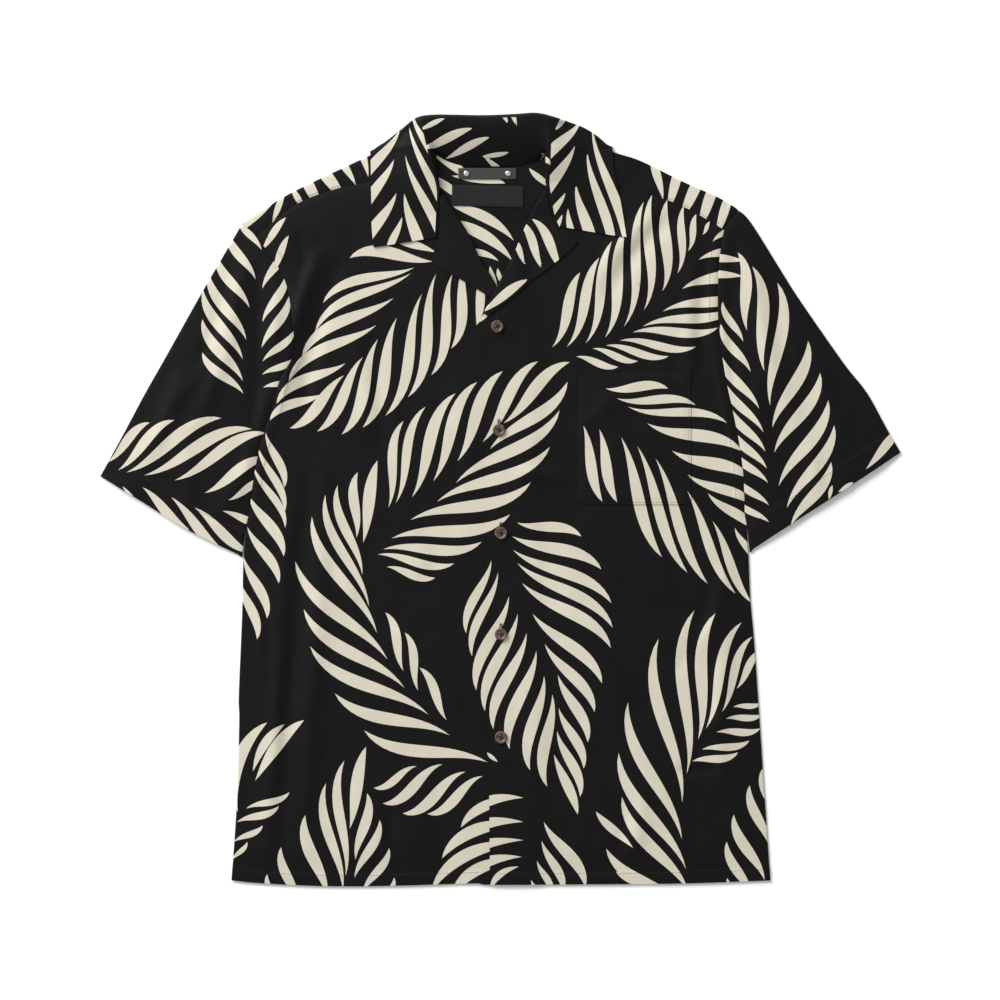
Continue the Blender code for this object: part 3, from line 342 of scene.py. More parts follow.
FRONT_LEAFLETS = [
    (-19, 243, -25, 183), (-67, 259, -118, 279), (-144, -45, -129, 41), (-3, -275, -14, -265),
    (56, -267, 81, -330), (139, -365, 100, -327), (162, -410, 121, -390), (-158, -345, -141, -259),
    (-23, 186, -11, 197), (-251, 261, -225, 296), (-239, 237, -222, 277),
]
SLEEVE_RIGHT_ROWS = [
    Row(0.8, 0, [(-269, 111, -313, 154), (-270, 125, -313, 189), (-270, 147, -312, 220),
        (-266, 168, -307, 239), (-263, 201, -298, 258), (-257, 231, -286, 283),
        (-250, 262, -274, 299)]),
    Row(-0.8, 0, [(-236, 104, -221, 113), (-249, 117, -220, 128), (-250, 131, -215, 150),
        (-250, 145, -216, 178), (-250, 159, -222, 214), (-250, 187, -225, 237),
        (-250, 222, -223, 276)]),
    Row(0.8, 0, [(-412, 39, -368, 81), (-401, 31, -342, 84), (-392, 29, -293, 85),
        (-373, 26, -261, 74), (-341, 20, -246, 70), (-310, 7, -244, 44), (-285, 0, -244, 21)]),
    Row(-0.6, 0, [(-396, 14, -373, -13), (-376, 13, -326, -32), (-345, 3, -286, -56),
        (-320, -8, -263, -55), (-291, -12, -248, -25)]),
]

SLEEVE_LEFT_ROWS = [
    Row(0.8, 0, [(281, -23, 249, 0), (280, 17, 246, 52), (277, 50, 239, 101), (271, 96, 230, 155),
        (254, 165, 233, 207)], 9),
    Row(-0.8, 0, [(305, -27, 347, 39), (300, -9, 350, 78), (291, 15, 344, 105), (287, 49, 335, 133),
        (285, 76, 322, 167), (283, 99, 290, 228), (276, 135, 264, 245), (258, 177, 249, 260)]),
]
SLEEVE_LEFT_LEAFLETS = [
    (383, 32, 425, 78), (344, 0, 348, 15), (354, 8, 370, 18), (257, 250, 207, 258),
    (255, 234, 207, 240),
]
SHOULDER_ROWS = [
    Row(0.3, 0, [(171, 314, 159, 367), (174, 300, 195, 362), (184, 288, 222, 357),
        (205, 278, 233, 346), (225, 273, 247, 330)]),
    Row(0.3, 0, [(-139, 338, -151, 390), (-152, 329, -179, 378), (-156, 302, -206, 378),
        (-183, 292, -213, 362), (-204, 300, -220, 330)]),
]
SHOULDER_LEAFLETS = [(-278, 279, -233, 318), (-240, 290, -226, 322)]
NECK_ROWS = [
    Row(0.1, 22, [(14, 272, -51, 308), (13, 250, -57, 293), (-2, 250, -39, 261)]),
    Row(0.5, 0, [(-3, 221, -11, 246), (2, 223, -3, 243)]),
]
NECK_LEAFLETS = [
    (-82, 376, -30, 333), (-80, 346, -36, 311), (-51, 340, 5, 332), (4, 237, 11, 240),
    (56, 325, 30, 348),
]
COLLAR_ROWS = [
    Row(-0.8, 0, [(-104, 389, -148, 319), (-110, 360, -148, 283), (-108, 325, -145, 249),
        (-103, 300, -117, 249)]),
    Row(0.8, 0, [(-94, 411, -57, 309), (-97, 398, -56, 260), (-100, 365, -62, 243),
        (-100, 324, -85, 233)]),
    Row(-0.8, 0, [(86, 400, 38, 336), (79, 374, 38, 292), (69, 326, 47, 281), (65, 302, 54, 266)]),
    Row(0.8, 0, [(96, 397, 128, 237), (90, 370, 113, 237), (79, 334, 93, 243), (72, 309, 71, 256)]),
]
COLLAR_LEAFLETS = [(74, 413, 56, 385)]
STAND_ROWS = [
    Row(-0.3, 0, [(-24, 359, 11, 364), (-19, 361, 7, 343)]),
]
STAND_LEAFLETS = [
    (-87, 364, -28, 388), (-60, 357, -10, 379), (-87, 385, -57, 398), (-16, 409, -4, 397),
    (-3, 412, 8, 391), (7, 414, 17, 389), (52, 411, 51, 398), (55, 346, 43, 365),
]
LAPEL_ROWS = [
    Row(-0.8, 0, [(66, 238, 32, 295), (45, 241, 19, 293), (27, 246, 11, 275)]),
]
LAPEL_LEAFLETS = [(-20, 196, 29, 231)]
# Leaves of the faces that lie underneath: x and y of the middle, heading in degrees, length.
BACK_FRONDS = [
    (-175, 150, 62, 165), (-15, 130, 205, 165), (160, 165, 150, 160), (40, -40, 72, 175),
    (-185, -70, 100, 170), (195, -20, 255, 165), (-90, -190, 325, 165), (150, -220, 118, 170),
    (-195, -290, 60, 170), (10, -330, 190, 165), (215, -350, 85, 150), (-110, 20, 20, 120),
    (255, 130, 80, 130), (-30, -240, 250, 110),
]
YOKE_FRONDS = [(-150, 300, 200, 120), (140, 305, 340, 120)]
SLEEVE_BACK_FRONDS = [
    (325, 95, 238, 160), (262, 100, 88, 130), (385, 90, 250, 110), (270, -20, 170, 120),
]


# ---------------------------------------------------------------- lines and curves
def smooth_step(low, high, value):
    part = np.clip((value - low) / (high - low), 0.0, 1.0)
    return part * part * (3 - 2 * part)


def spline_at(values, position):
    """Read a Catmull-Rom spline through rows of values at positions counted in rows."""
    values = np.asarray(values, float)
    position = np.atleast_1d(np.asarray(position, float))
    last = len(values) - 1
    index = np.minimum(position.astype(int), last - 1)
    part = (position - index).reshape((-1,) + (1,) * (values.ndim - 1))
    before, start = values[np.maximum(index - 1, 0)], values[index]
    end, after = values[index + 1], values[np.minimum(index + 2, last)]
    square, cube = part ** 2, part ** 3
    return (start * (2 * cube - 3 * square + 1) + (end - before) / 2 * (cube - 2 * square + part)
            + end * (3 * square - 2 * cube) + (after - start) / 2 * (cube - square))


def travel_along(line):
    """How far along a line each of its points lies."""
    return np.concatenate([[0.0], np.cumsum(np.linalg.norm(np.diff(line, axis=0), axis=1))])


def points_at(line, stops):
    """Points of a line at given distances along it."""
    travel = travel_along(line)
    return np.stack([np.interp(stops, travel, line[:, axis]) for axis in (0, 1)], axis=1)


def even_points(line, step):
    """Points evenly spaced along a line, both ends kept."""
    line = np.asarray(line, float)
    length = travel_along(line)[-1]
    return points_at(line, np.linspace(0, length, max(2, round(length / step)) + 1))


def positions(rows, steps):
    """Positions along rows of values, with a number of steps from each row to the next."""
    return np.arange(steps * (len(rows) - 1) + 1) / steps


def smooth_curve(points, step):
    """Evenly spaced points on the smooth curve through some corners."""
    return even_points(spline_at(points, positions(points, CURVE_STEPS)), step)


def nearest(line, places):
    """Distance to a line, its nearest point, which side (+1 is left), and how far past an end."""
    places = np.asarray(places, float)
    best = np.full(len(places), np.inf)
    foot = np.zeros_like(places)
    side = np.zeros(len(places))
    past = np.zeros(len(places))
    for start, along in zip(line[:-1], np.diff(line, axis=0)):
        length = np.linalg.norm(along)
        along = along / length
        offset = places - start
        part = np.clip(offset @ along, 0, length)
        spot = start + part[:, None] * along
        away = places - spot
        gap = np.linalg.norm(away, axis=1)
        closer = gap < best
        best[closer], foot[closer] = gap[closer], spot[closer]
        side[closer] = (along[0] * away[:, 1] - along[1] * away[:, 0])[closer]
        past[closer] = np.abs(away @ along)[closer]
    return best, foot, np.sign(side), past


def distance_to(line, places):
    return nearest(line, places)[0]


def left_normals(line):
    along = np.gradient(line, axis=0)
    along /= np.linalg.norm(along, axis=1)[:, None]
    return np.stack([-along[:, 1], along[:, 0]], axis=1)


def offset_line(line, distance):
    """Move a line sideways, to its left for a positive distance."""
    return line + left_normals(line) * distance


def join_lines(*lines):
    """Chain lines into one closed outline, dropping repeated corners."""
    outline = []
    for line in lines:
        for point in line:
            if not outline or math.dist(point, outline[-1]) > 0.05:
                outline.append(np.asarray(point, float))
    if math.dist(outline[0], outline[-1]) < 0.05:
        outline.pop()
    return np.array(outline)


def split_at(line, y, keep_above):
    """The part of a line above or below a height on the shirt, cut exactly there."""
    result = []
    for first, second in zip(line[:-1], line[1:]):
        if (first[1] >= y) == keep_above:
            result.append(first)
        if (first[1] - y) * (second[1] - y) < 0:
            result.append(first + (second - first) * (y - first[1]) / (second[1] - first[1]))
    if (line[-1][1] >= y) == keep_above:
        result.append(line[-1])
    return np.array(result)


def turning(outline):
    """Signed area of a closed outline, positive where it runs counter-clockwise."""
    after = np.roll(outline, -1, axis=0)
    return 0.5 * np.sum(outline[:, 0] * after[:, 1] - after[:, 0] * outline[:, 1])


def counter_clockwise(outline):
    return outline if turning(outline) > 0 else outline[::-1]


def closed(outline):
    """An outline with its first corner repeated at its end."""
    return np.vstack([outline, outline[:1]])


def inset_outline(outline, distance):
    """Shrink a closed counter-clockwise outline by moving each corner inwards."""
    along = np.roll(outline, -1, axis=0) - outline
    along /= np.linalg.norm(along, axis=1)[:, None]
    normal = np.stack([-along[:, 1], along[:, 0]], axis=1)
    corner = normal + np.roll(normal, 1, axis=0)
    corner /= np.linalg.norm(corner, axis=1)[:, None]
    spread = np.maximum(np.sum(corner * normal, axis=1), 0.5)
    return outline + corner * (distance / spread)[:, None]


def is_inside(outline, places):
    crossed = np.zeros(len(places), bool)
    x, y = places[:, 0], places[:, 1]
    for (x1, y1), (x2, y2) in zip(outline, np.roll(outline, -1, axis=0)):
        if y1 != y2:
            crossed ^= ((y1 > y) != (y2 > y)) & (x < x1 + (x2 - x1) * (y - y1) / (y2 - y1))
    return crossed


(shoulder_right, shoulder_left, armhole_right, armhole_left, yoke_seam_right, yoke_seam_left) = (
    smooth_curve(line, LINE_STEP) for line in (SHOULDER_RIGHT, SHOULDER_LEFT, ARMHOLE_RIGHT,
                                               ARMHOLE_LEFT, YOKE_SEAM_RIGHT, YOKE_SEAM_LEFT))
side_right, side_left, hem = (
    smooth_curve(line, LONG_LINE_STEP) for line in (SIDE_RIGHT, SIDE_LEFT, HEM))
neck_back, roll_right, roll_left = (
    smooth_curve(line, FINE_LINE_STEP) for line in (NECK_BACK, ROLL_RIGHT, ROLL_LEFT))
body_rim = [shoulder_right, shoulder_left, side_right, side_left, hem]


# ---------------------------------------------------------------- heights
def crease_height(creases, places):
    """Sum of soft ridges and troughs, each tapered to nothing at its two ends."""
    total = np.zeros(len(places))
    for x1, y1, x2, y2, swing, width, height in creases:
        along = np.array([x2 - x1, y2 - y1], float)
        length = np.linalg.norm(along)
        along /= length
        offset = places - (x1, y1)
        part = np.clip(offset @ along / length, 0, 1)
        taper = np.maximum(np.sin(math.pi * part), 0)
        across = offset @ np.array([-along[1], along[0]]) - swing * taper
        total += height * taper ** 0.7 * np.exp(-(across / width) ** 2)
    return total


def ripple(places):
    """The slight unevenness of cloth that has been pressed and worn."""
    rise = bpy.context.scene.shirt_cloth.ripple / MM
    return rise * np.array([
        sum(share * noise.noise(Vector((x / across, y / along, level)))
            for across, along, level, share in RIPPLES) for x, y in places])


def above(low, rise):
    """The rise, kept softly above its lowest value so that no trough reaches the cloth below."""
    return np.logaddexp(SHARPNESS * low, SHARPNESS * rise) / SHARPNESS


def neck_lift(places):
    across = (places[:, 0] - NECK_LIFT_CENTRE[0]) / NECK_LIFT_RADII[0]
    along = (places[:, 1] - NECK_LIFT_CENTRE[1]) / NECK_LIFT_RADII[1]
    return LAYER * (1 - smooth_step(1.0, 1.0 + NECK_LIFT_FADE, np.hypot(across, along)))


def back_mid(places):
    return FLOOR_MID + neck_lift(places)


def front_mid(places):
    """Middle of the wall of the body's upper layer: right front and shoulder strips."""
    rim = np.min([distance_to(line, places) for line in body_rim], axis=0)
    fade = smooth_step(0, BODY_PUFF_WIDTH, rim)
    relief = crease_height(BODY_CREASES, places) + ripple(places)
    puff = fade * above(LOWEST_CREASE, BODY_PUFF + relief)
    return TOP_MID + neck_lift(places) + puff


def under_edge_x(y):
    x, height = np.array(UNDER_EDGE[::-1], float).T
    return np.interp(y, height, x)


def front_left_mid(places):
    """The left front lies a layer higher over the right one, and two where a lapel lies between."""
    lap = 1 - smooth_step(*OVERLAP_BLEND, places[:, 0] - under_edge_x(places[:, 1]))
    away = np.linalg.norm(places - LAPEL_END, axis=1) / LAPEL_END_SPREAD
    lapel = np.minimum(LAPEL_END_FULL * np.exp(-away ** 2), 1.0)
    return front_mid(places) + LAYER * lap + LAPEL_ROOM * lapel


def upper_mid(places):
    """Middle of the wall of whatever cloth is uppermost before collar and lapels go on."""
    (foot_x, foot_y), (top_x, top_y) = ROLL_LEFT[-1], OPENING_TOP
    opening = foot_x + (top_x - foot_x) * smooth_step(foot_y, top_y, places[:, 1])
    return np.where(places[:, 0] > opening, front_left_mid(places), front_mid(places))


def leaf_mid(places):
    """Middle of the wall of a collar or lapel that rests on the cloth below it."""
    return upper_mid(places) + LAYER + REST_CLEARANCE


def seam_sizes():
    """Depth of a seam's groove and height of a band, in mm."""
    cloth = bpy.context.scene.shirt_cloth
    return cloth.seam_groove / MM, cloth.band_rise / MM


def groove_at(line, places):
    """1 on a seam, and 0 away from it."""
    return np.exp(-(distance_to(line, places) / SEAM_HALF_WIDTH) ** 2)


def band_at(line, width, places):
    """1 on the band beside a line, and 0 beyond it."""
    return 1 - smooth_step(width - BAND_EDGE, width + BAND_EDGE, distance_to(line, places))


def with_seams(height):
    """A height with its sewn edges: a groove along each seam, the allowance behind it raised."""
    def sewn(places):
        groove, band = seam_sizes()
        relief = band * band_at(hem, HEM_BAND, places)
        for line in (armhole_right, armhole_left):
            relief += band * band_at(line, ARMHOLE_BAND, places)
            relief -= (groove + band) * groove_at(line, places)
        for line in (yoke_seam_right, yoke_seam_left):
            relief -= groove * groove_at(line, places)
        return height(places) + relief

    return sewn


# ---------------------------------------------------------------- printed leaves
def leaflet_line(root, tip, swing, bow):
    """Middle line of a leaflet, which leaves the rib, swings out and comes back along it."""
    part = (np.arange(LEAF_STEPS) + 0.5) / LEAF_STEPS
    first, gain, loss = LEAF_HEADING
    turn = np.radians(swing * (gain * part + loss * part ** 2 + first) + bow * (2 * part - 1))
    line = np.concatenate([[0], np.cumsum(np.exp(1j * turn))])
    line *= complex(*(tip - root)) / line[-1]
    return root + np.stack([line.real, line.imag], axis=1)


def leaflet(line, room=LEAF_ROOM_ALONE):
    """Outline of a leaflet round its middle line, no wider than its neighbours leave room for."""
    length = math.dist(line[0], line[-1])
    width = min(LEAF_WIDEST, LEAF_WIDTH + LEAF_SPREAD * length, LEAF_STOUTEST * length,
                LEAF_ROOM_USED * room)
    part = np.arange(LEAF_STEPS + 1) / LEAF_STEPS
    half = width / 2 * np.clip(np.sin(math.pi * part ** LEAF_BELLY), 0, 1) ** LEAF_FULLNESS
    across = left_normals(line) * half[:, None]
    return counter_clockwise(np.vstack([line + across, (line - across)[-2:0:-1]]))


def leaf_row(row, chance):
    """The leaflets of a row, each as wide as the nearest one beside it lets it be."""
    ends = np.array(row.keys, float)
    if row.count:
        ends = spline_at(ends, np.linspace(0, len(ends) - 1, row.count))
    ends = ends + [[chance.uniform(-LEAF_SHAKE, LEAF_SHAKE) for _ in range(4)] for _ in ends]
    middles = [leaflet_line(end[:2], end[2:], row.swing, row.bow) for end in ends]
    leaves = []
    for index, line in enumerate(middles):
        beside = middles[max(index - 1, 0):index] + middles[index + 1:index + 2]
        rooms = [float(np.median(distance_to(other, line[3:-3]))) for other in beside]
        leaves.append(leaflet(line, min(rooms, default=LEAF_ROOM_ALONE)))
    return leaves


def plain_frond(x, y, heading, length):
    """The two rows of a frond with a straight rib."""
    turn = math.radians(heading)
    along, across = np.array([(math.cos(turn), math.sin(turn)), (-math.sin(turn), math.cos(turn))])
    rows = []
    for side in (1, -1):
        keys = []
        for part, reach, lean in (
                (-0.5, 0.36, 44), (-0.2, 0.52, 36), (0.15, 0.50, 29), (0.45, 0.40, 16)):
            root = (x, y) + along * part * length + side * RIB_HALF_WIDTH * across
            lean = turn + side * math.radians(lean)
            tip = root + np.array([math.cos(lean), math.sin(lean)]) * reach * length
            keys.append((*root, *tip))
        rows.append(Row(FROND_SWING * side, 0, keys, FROND_LEAFLETS))
    return rows


def grow(rows, singles=(), seed=1):
    """Outlines of all the leaflets of some rows, and of single ones given by their two ends."""
    chance = random.Random(seed)
    leaves = [leaf for row in rows for leaf in leaf_row(row, chance)]
    for end in np.array(singles, float).reshape(-1, 4):
        leaves.append(leaflet(leaflet_line(end[:2], end[2:], SINGLE_SWING, 0)))
    return leaves


def boxes_meet(first, second, room):
    """Whether the boxes of two outlines come closer than some room."""
    return (np.all(first.max(axis=0) > second.min(axis=0) - room)
            and np.all(first.min(axis=0) < second.max(axis=0) + room))


def lies_clear(leaf, others):
    """Whether a leaflet keeps clear of all the others."""
    return not any(
        boxes_meet(leaf, other, LEAF_CLEARANCE)
        and (is_inside(other, leaf).any() or is_inside(leaf, other).any()
             or distance_to(closed(other), leaf).min() < LEAF_CLEARANCE)
        for other in others)


def plain_fronds(places, outward=1, taken=()):
    """Fronds of a hidden face, each under those before it, mirrored for the wearer's right side."""
    leaves = list(taken)
    for x, y, heading, length in places:
        frond = grow(plain_frond(outward * x, y, heading if outward > 0 else 180 - heading, length))
        leaves += [leaf for leaf in frond if lies_clear(leaf, leaves)]
    return leaves


def front_leaves(right):
    """The fronts' leaves; at the opening those of the right front lie a little lower."""
    drop = OPENING_DROP * right
    lowered = [row._replace(keys=(np.array(row.keys) - (0, drop, 0, drop)).tolist())
               for row in OPENING_ROWS]
    return grow(FRONT_ROWS + lowered, FRONT_LEAFLETS, 13)


def leaf_depth(leaves, places):
    """How deep each place lies inside the nearest leaflet, in mm, negative outside all of them."""
    depth = np.full(len(places), -LEAF_ROOM_ALONE)
    for leaf in leaves:
        near = np.all((places > leaf.min(axis=0) - LEAF_REACH)
                      & (places < leaf.max(axis=0) + LEAF_REACH), axis=1)
        if near.any():
            spots = places[near]
            away = distance_to(closed(leaf), spots)
            depth[near] = np.maximum(depth[near], np.where(is_inside(leaf, spots), away, -away))
    return depth


# ---------------------------------------------------------------- cloth meshes
# Places are in mm, and printed is one value for each face or for each place.
Sheet = namedtuple("Sheet", "places faces printed flat")


def free_points(outline, fixed, step):
    """An even grid of points inside an outline, clear of it and of the fixed points."""
    low, high = outline.min(axis=0), outline.max(axis=0)
    rows = np.arange(low[1] + 0.4 * step, high[1], 0.866 * step)
    grid = np.array([(x + 0.5 * step * (row % 2), y) for row, y in enumerate(rows)
                     for x in np.arange(low[0], high[0], step)])
    grid = grid[is_inside(outline, grid)]
    grid = grid[distance_to(closed(outline), grid) > 0.45 * step]
    if fixed:
        tree = kdtree.KDTree(len(fixed))
        for index, (x, y) in enumerate(fixed):
            tree.insert((x, y, 0), index)
        tree.balance()
        grid = [spot for spot in grid if tree.find((*spot, 0))[2] > 0.42 * step]
    return grid


def cut_panel(outline, leaves, height, rims=(), lines=()):
    """Cut a flat panel along its leaves and guide lines, lift it to a height and fold its rims."""
    outline = counter_clockwise(outline)
    points, edges, loops = [], [], []
    for loop in [outline] + [leaf for leaf in leaves if boxes_meet(leaf, outline, 0)]:
        loops.append(list(range(len(points), len(points) + len(loop))))
        points.extend(loop)
    for line in lines:
        start = len(points)
        points.extend(line)
        edges.extend((start + index, start + index + 1) for index in range(len(line) - 1))
    step = bpy.context.scene.shirt_cloth.mesh_step / MM
    points.extend(free_points(outline, points[len(outline):], step))
    found = delaunay_2d_cdt([Vector(point) for point in points], edges, loops, 0, 1e-4, True)
    places = np.array([tuple(spot) for spot in found[0]])
    inside = [number for number, sources in enumerate(found[5]) if 0 in sources]
    faces = np.array([found[2][number] for number in inside])
    printed = np.array([len(set(found[5][number])) > 1 for number in inside], float)
    first, second = (places[faces[:, corner]] - places[faces[:, 0]] for corner in (1, 2))
    real = abs(first[:, 0] * second[:, 1] - second[:, 0] * first[:, 1]) > 1e-5
    used, faces = np.unique(faces[real], return_inverse=True)
    places = places[used]
    lifted = fold_over(places, rims, height)
    return Sheet(lifted, faces.reshape(-1, 3).tolist(), printed[real], places)


def fold_over(places, rims, height):
    """Lift flat places to a height, and turn those beyond a rim round its fold to the cloth below.

    Each rim is its line and the side on which its fold lies, +1 for its left.
    """
    lifted = np.column_stack([places, height(places)])
    for line, outward in rims:
        away, foot, side, past = nearest(line, places)
        beyond = (side == outward) & (away > 1e-3) & (past < 0.3 * away)
        if beyond.any():
            spots, far = foot[beyond], away[beyond]
            out = (places[beyond] - spots) / far[:, None]
            top = height(spots)
            radius = (top - back_mid(spots)) / 2
            angle = np.minimum(far / FOLD_RADIUS, math.pi)
            lifted[beyond, :2] = spots + out * (radius * np.sin(angle))[:, None]
            lifted[beyond, 2] = top - radius * (1 - np.cos(angle))
    return lifted


def fold_guides(line, outward, turn):
    """The rim of a fold and the lines round it, for the mesh to follow."""
    return [offset_line(line, outward * FOLD_RADIUS * turn * part)
            for part in (0.0, 0.25, 0.5, 0.75)]


def band_guides(line, side, width):
    """The two edges of the step beside a band, for the mesh to follow."""
    return [offset_line(line, side * (width + edge)) for edge in (-BAND_EDGE, BAND_EDGE)]


def grid_sheet(rows, printed):
    """A sheet from rows of places, with its flat coordinates measured along and across."""
    count, width = rows.shape[:2]
    along = np.repeat(travel_along(rows[:, width // 2])[:, None], width, axis=1)
    flat = np.stack([along, [travel_along(row) for row in rows]], axis=2).reshape(-1, 2)
    faces = [(i * width + j, i * width + j + 1, (i + 1) * width + j + 1, (i + 1) * width + j)
             for i in range(count - 1) for j in range(width - 1)]
    return Sheet(rows.reshape(-1, 3), faces, 0.5 + 0.5 * printed, flat)


def lay_out(sheets):
    """Where each wall of each sheet goes on the baked picture, and how much it is scaled."""
    sizes = [np.ptp(sheet.flat, axis=0) for sheet in sheets for _ in (0, 1)]
    wide = sum(size[0] + PICTURE_GAP for size in sizes), max(size[1] for size in sizes)
    tall = max(size[0] for size in sizes), sum(size[1] + PICTURE_GAP for size in sizes)
    axis = 0 if max(wide) <= max(tall) else 1
    scale = PICTURE_SHARE / max(tall if axis else wide)
    spots, reached = [], PICTURE_GAP / 2
    for number, size in enumerate(sizes):
        corner = np.full(2, PICTURE_GAP / 2)
        corner[axis] = reached
        reached += size[axis] + PICTURE_GAP
        spots.append(corner - sheets[number // 2].flat.min(axis=0))
    return np.array(spots), scale


def add_piece(name, data):
    """Put a mesh in the scene as a piece, and select nothing else."""
    piece = bpy.data.objects.new(name, data)
    bpy.context.scene.collection.objects.link(piece)
    activate(piece)
    return piece


def activate(piece):
    bpy.ops.object.select_all(action="DESELECT")
    piece.select_set(True)
    bpy.context.view_layer.objects.active = piece


def make_cloth(node, sheets, cut, held, rests_on, wall=None):
    """Join sheets into one printed piece, give it its wall, and let it stand for its solid."""
    name = node + "_cloth"
    corners, faces, printed, flat, owner = [], [], [], [], []
    for number, sheet in enumerate(sheets):
        start = len(corners)
        corners.extend((sheet.places - BOX_CENTRE) * MM)
        faces.extend(tuple(start + index for index in face) for face in sheet.faces)
        printed.extend(sheet.printed)
        flat.extend(sheet.flat * MM)
        owner.extend([number] * len(sheet.faces))
    data = bpy.data.meshes.new(name)
    data.from_pydata([tuple(corner) for corner in corners], [], faces)
    data.update()
    domain = "FACE" if len(printed) == len(faces) else "POINT"
    data.attributes.new("print", "FLOAT", domain).data.foreach_set("value", printed)
    data.attributes.new("sheet", "INT", "FACE").data.foreach_set("value", owner)
    loops = np.empty(len(data.loops), int)
    data.loops.foreach_get("vertex_index", loops)
    data.uv_layers.new(name="cloth").data.foreach_set("uv", np.array(flat)[loops].reshape(-1))
    piece = add_piece(name, data)
    thicken = piece.modifiers.new("wall", "SOLIDIFY")
    thicken.thickness = wall or bpy.context.scene.shirt_cloth.wall
    thicken.offset = 0
    bpy.ops.object.modifier_apply(modifier="wall")
    map_picture(piece.data, sheets, len(faces))
    bpy.ops.object.shade_smooth_by_angle(angle=CLOTH_EDGE)
    piece.data.materials.append(bpy.data.materials["printed_cloth"])
    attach(piece, "root")
    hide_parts(node)
    declare(piece, *cut, held, rests_on)


def map_picture(data, sheets, count):
    """Give each wall of each sheet its own place on the baked picture."""
    owner = np.empty(len(data.polygons), int)
    data.attributes["sheet"].data.foreach_get("value", owner)
    wall = np.zeros(len(owner), int)
    wall[count:2 * count] = 1
    totals = np.empty(len(owner), int)
    data.polygons.foreach_get("loop_total", totals)
    cloth = np.empty(2 * len(data.loops))
    data.uv_layers["cloth"].data.foreach_get("uv", cloth)
    spots, scale = lay_out(sheets)
    place = np.repeat(owner * 2 + wall, totals)
    picture = (cloth.reshape(-1, 2) / MM + spots[place]) * scale
    data.uv_layers.new(name="OFBake").data.foreach_set("uv", picture.reshape(-1))
    data.attributes.remove(data.attributes["sheet"])


def declare(piece, width, length, held, rests_on):
    """Measure the cut of the cloth that shows: its area on the sheet, no more than its size. The
    result is not kept.
    """
    area = min(sum(face.area for face in piece.data.polygons) / 2, width * length)


# ---------------------------------------------------------------- shader nodes
class Value:
    """A number that varies over a surface, written as Python expressions."""

    def __init__(self, finish, socket):
        self.finish = finish
        self.socket = socket

    def maths(self, operation, *others):
        node = self.finish.node("ShaderNodeMath", {"operation": operation},
                                dict(enumerate((self, *others))))
        return Value(self.finish, node.outputs[0])

    def __add__(self, other):
        return self.maths("ADD", other)

    def __radd__(self, other):
        return self + other

    def __sub__(self, other):
        return self.maths("SUBTRACT", other)

    def __rsub__(self, other):
        return self * -1 + other

    def __mul__(self, other):
        return self.maths("MULTIPLY", other)

    def __rmul__(self, other):
        return self * other

    def __gt__(self, other):
        return self.maths("GREATER_THAN", other)


class Finish:
    """A material, and the one way in which its nodes are added."""

    def __init__(self, name, **constants):
        self.material = bpy.data.materials.new(name)
        if self.material.name != name:
            raise RuntimeError(f"another finish is already called {name}")
        self.material.use_nodes = True
        self.shader = self.material.node_tree.nodes["Principled BSDF"]
        for socket, value in constants.items():
            self.shader.inputs[socket.replace("_", " ")].default_value = value

    def node(self, kind, settings=None, sockets=None):
        node = self.material.node_tree.nodes.new(kind)
        for key, value in (settings or {}).items():
            setattr(node, key, value)
        for key, value in (sockets or {}).items():
            self.feed(node.inputs[key], value)
        return node

    def feed(self, socket, value):
        if isinstance(value, Value):
            value = value.socket
        if isinstance(value, bpy.types.NodeSocket):
            self.material.node_tree.links.new(value, socket)
        else:
            socket.default_value = value

    def value(self, kind, settings=None, sockets=None, output=0):
        return Value(self, self.node(kind, settings, sockets).outputs[output])

    def attribute(self, name):
        return self.value("ShaderNodeAttribute", {"attribute_name": name}, output="Fac")

    def place(self, uv=None):
        """The surface's own place, in metres: its weave's map, or the object's coordinates."""
        if uv:
            return self.node("ShaderNodeUVMap", {"uv_map": uv}).outputs[0]
        return self.node("ShaderNodeTexCoord").outputs["Object"]

    def mottle(self, place, scale, detail=2.0, shift=(0, 0, 0)):
        """Soft noise from about 0 to 1, stretched by a scale for each axis in turns a metre."""
        stretched = self.node("ShaderNodeMapping", {},
                              {"Vector": place, "Scale": scale, "Location": shift}).outputs[0]
        return self.value("ShaderNodeTexNoise", {},
                          {"Vector": stretched, "Scale": 1.0, "Detail": detail})

    def blend(self, part, first, second):
        """One colour where the part is 0, and the other where it is 1."""
        node = self.node("ShaderNodeMix", {"data_type": "RGBA"}, {0: part, 6: first, 7: second})
        return node.outputs[2]

    def vary(self, part, colour, darkest, lightest):
        """A colour that varies between two shades of it."""
        return self.blend(part, shade(colour, darkest), shade(colour, lightest))

    def axes(self, place):
        node = self.node("ShaderNodeSeparateXYZ", {}, {0: place})
        return Value(self, node.outputs[0]), Value(self, node.outputs[1])

    def weave(self, place, pitch):
        """Height of a plain weave: threads over and under by turns, rounded across."""
        along, across = self.axes(place)
        over = (along * (2 * math.pi / pitch)).maths("SINE")
        under = (across * (2 * math.pi / pitch)).maths("SINE")
        return over * under

    def paint(self, colour, roughness, height=None, depth=0.0, strength=0.0):
        """Give the surface its colour and roughness, and a fine relief where there is one."""
        self.feed(self.shader.inputs["Base Color"], colour)
        self.feed(self.shader.inputs["Roughness"], roughness)
        if height is not None:
            bump = self.node("ShaderNodeBump", {},
                             {"Strength": strength, "Distance": depth, "Height": height})
            self.feed(self.shader.inputs["Normal"], bump.outputs[0])


def shade(colour, part=1):
    """A colour made darker or lighter, as a shader's socket takes it."""
    return (*(part * value for value in colour), 1)


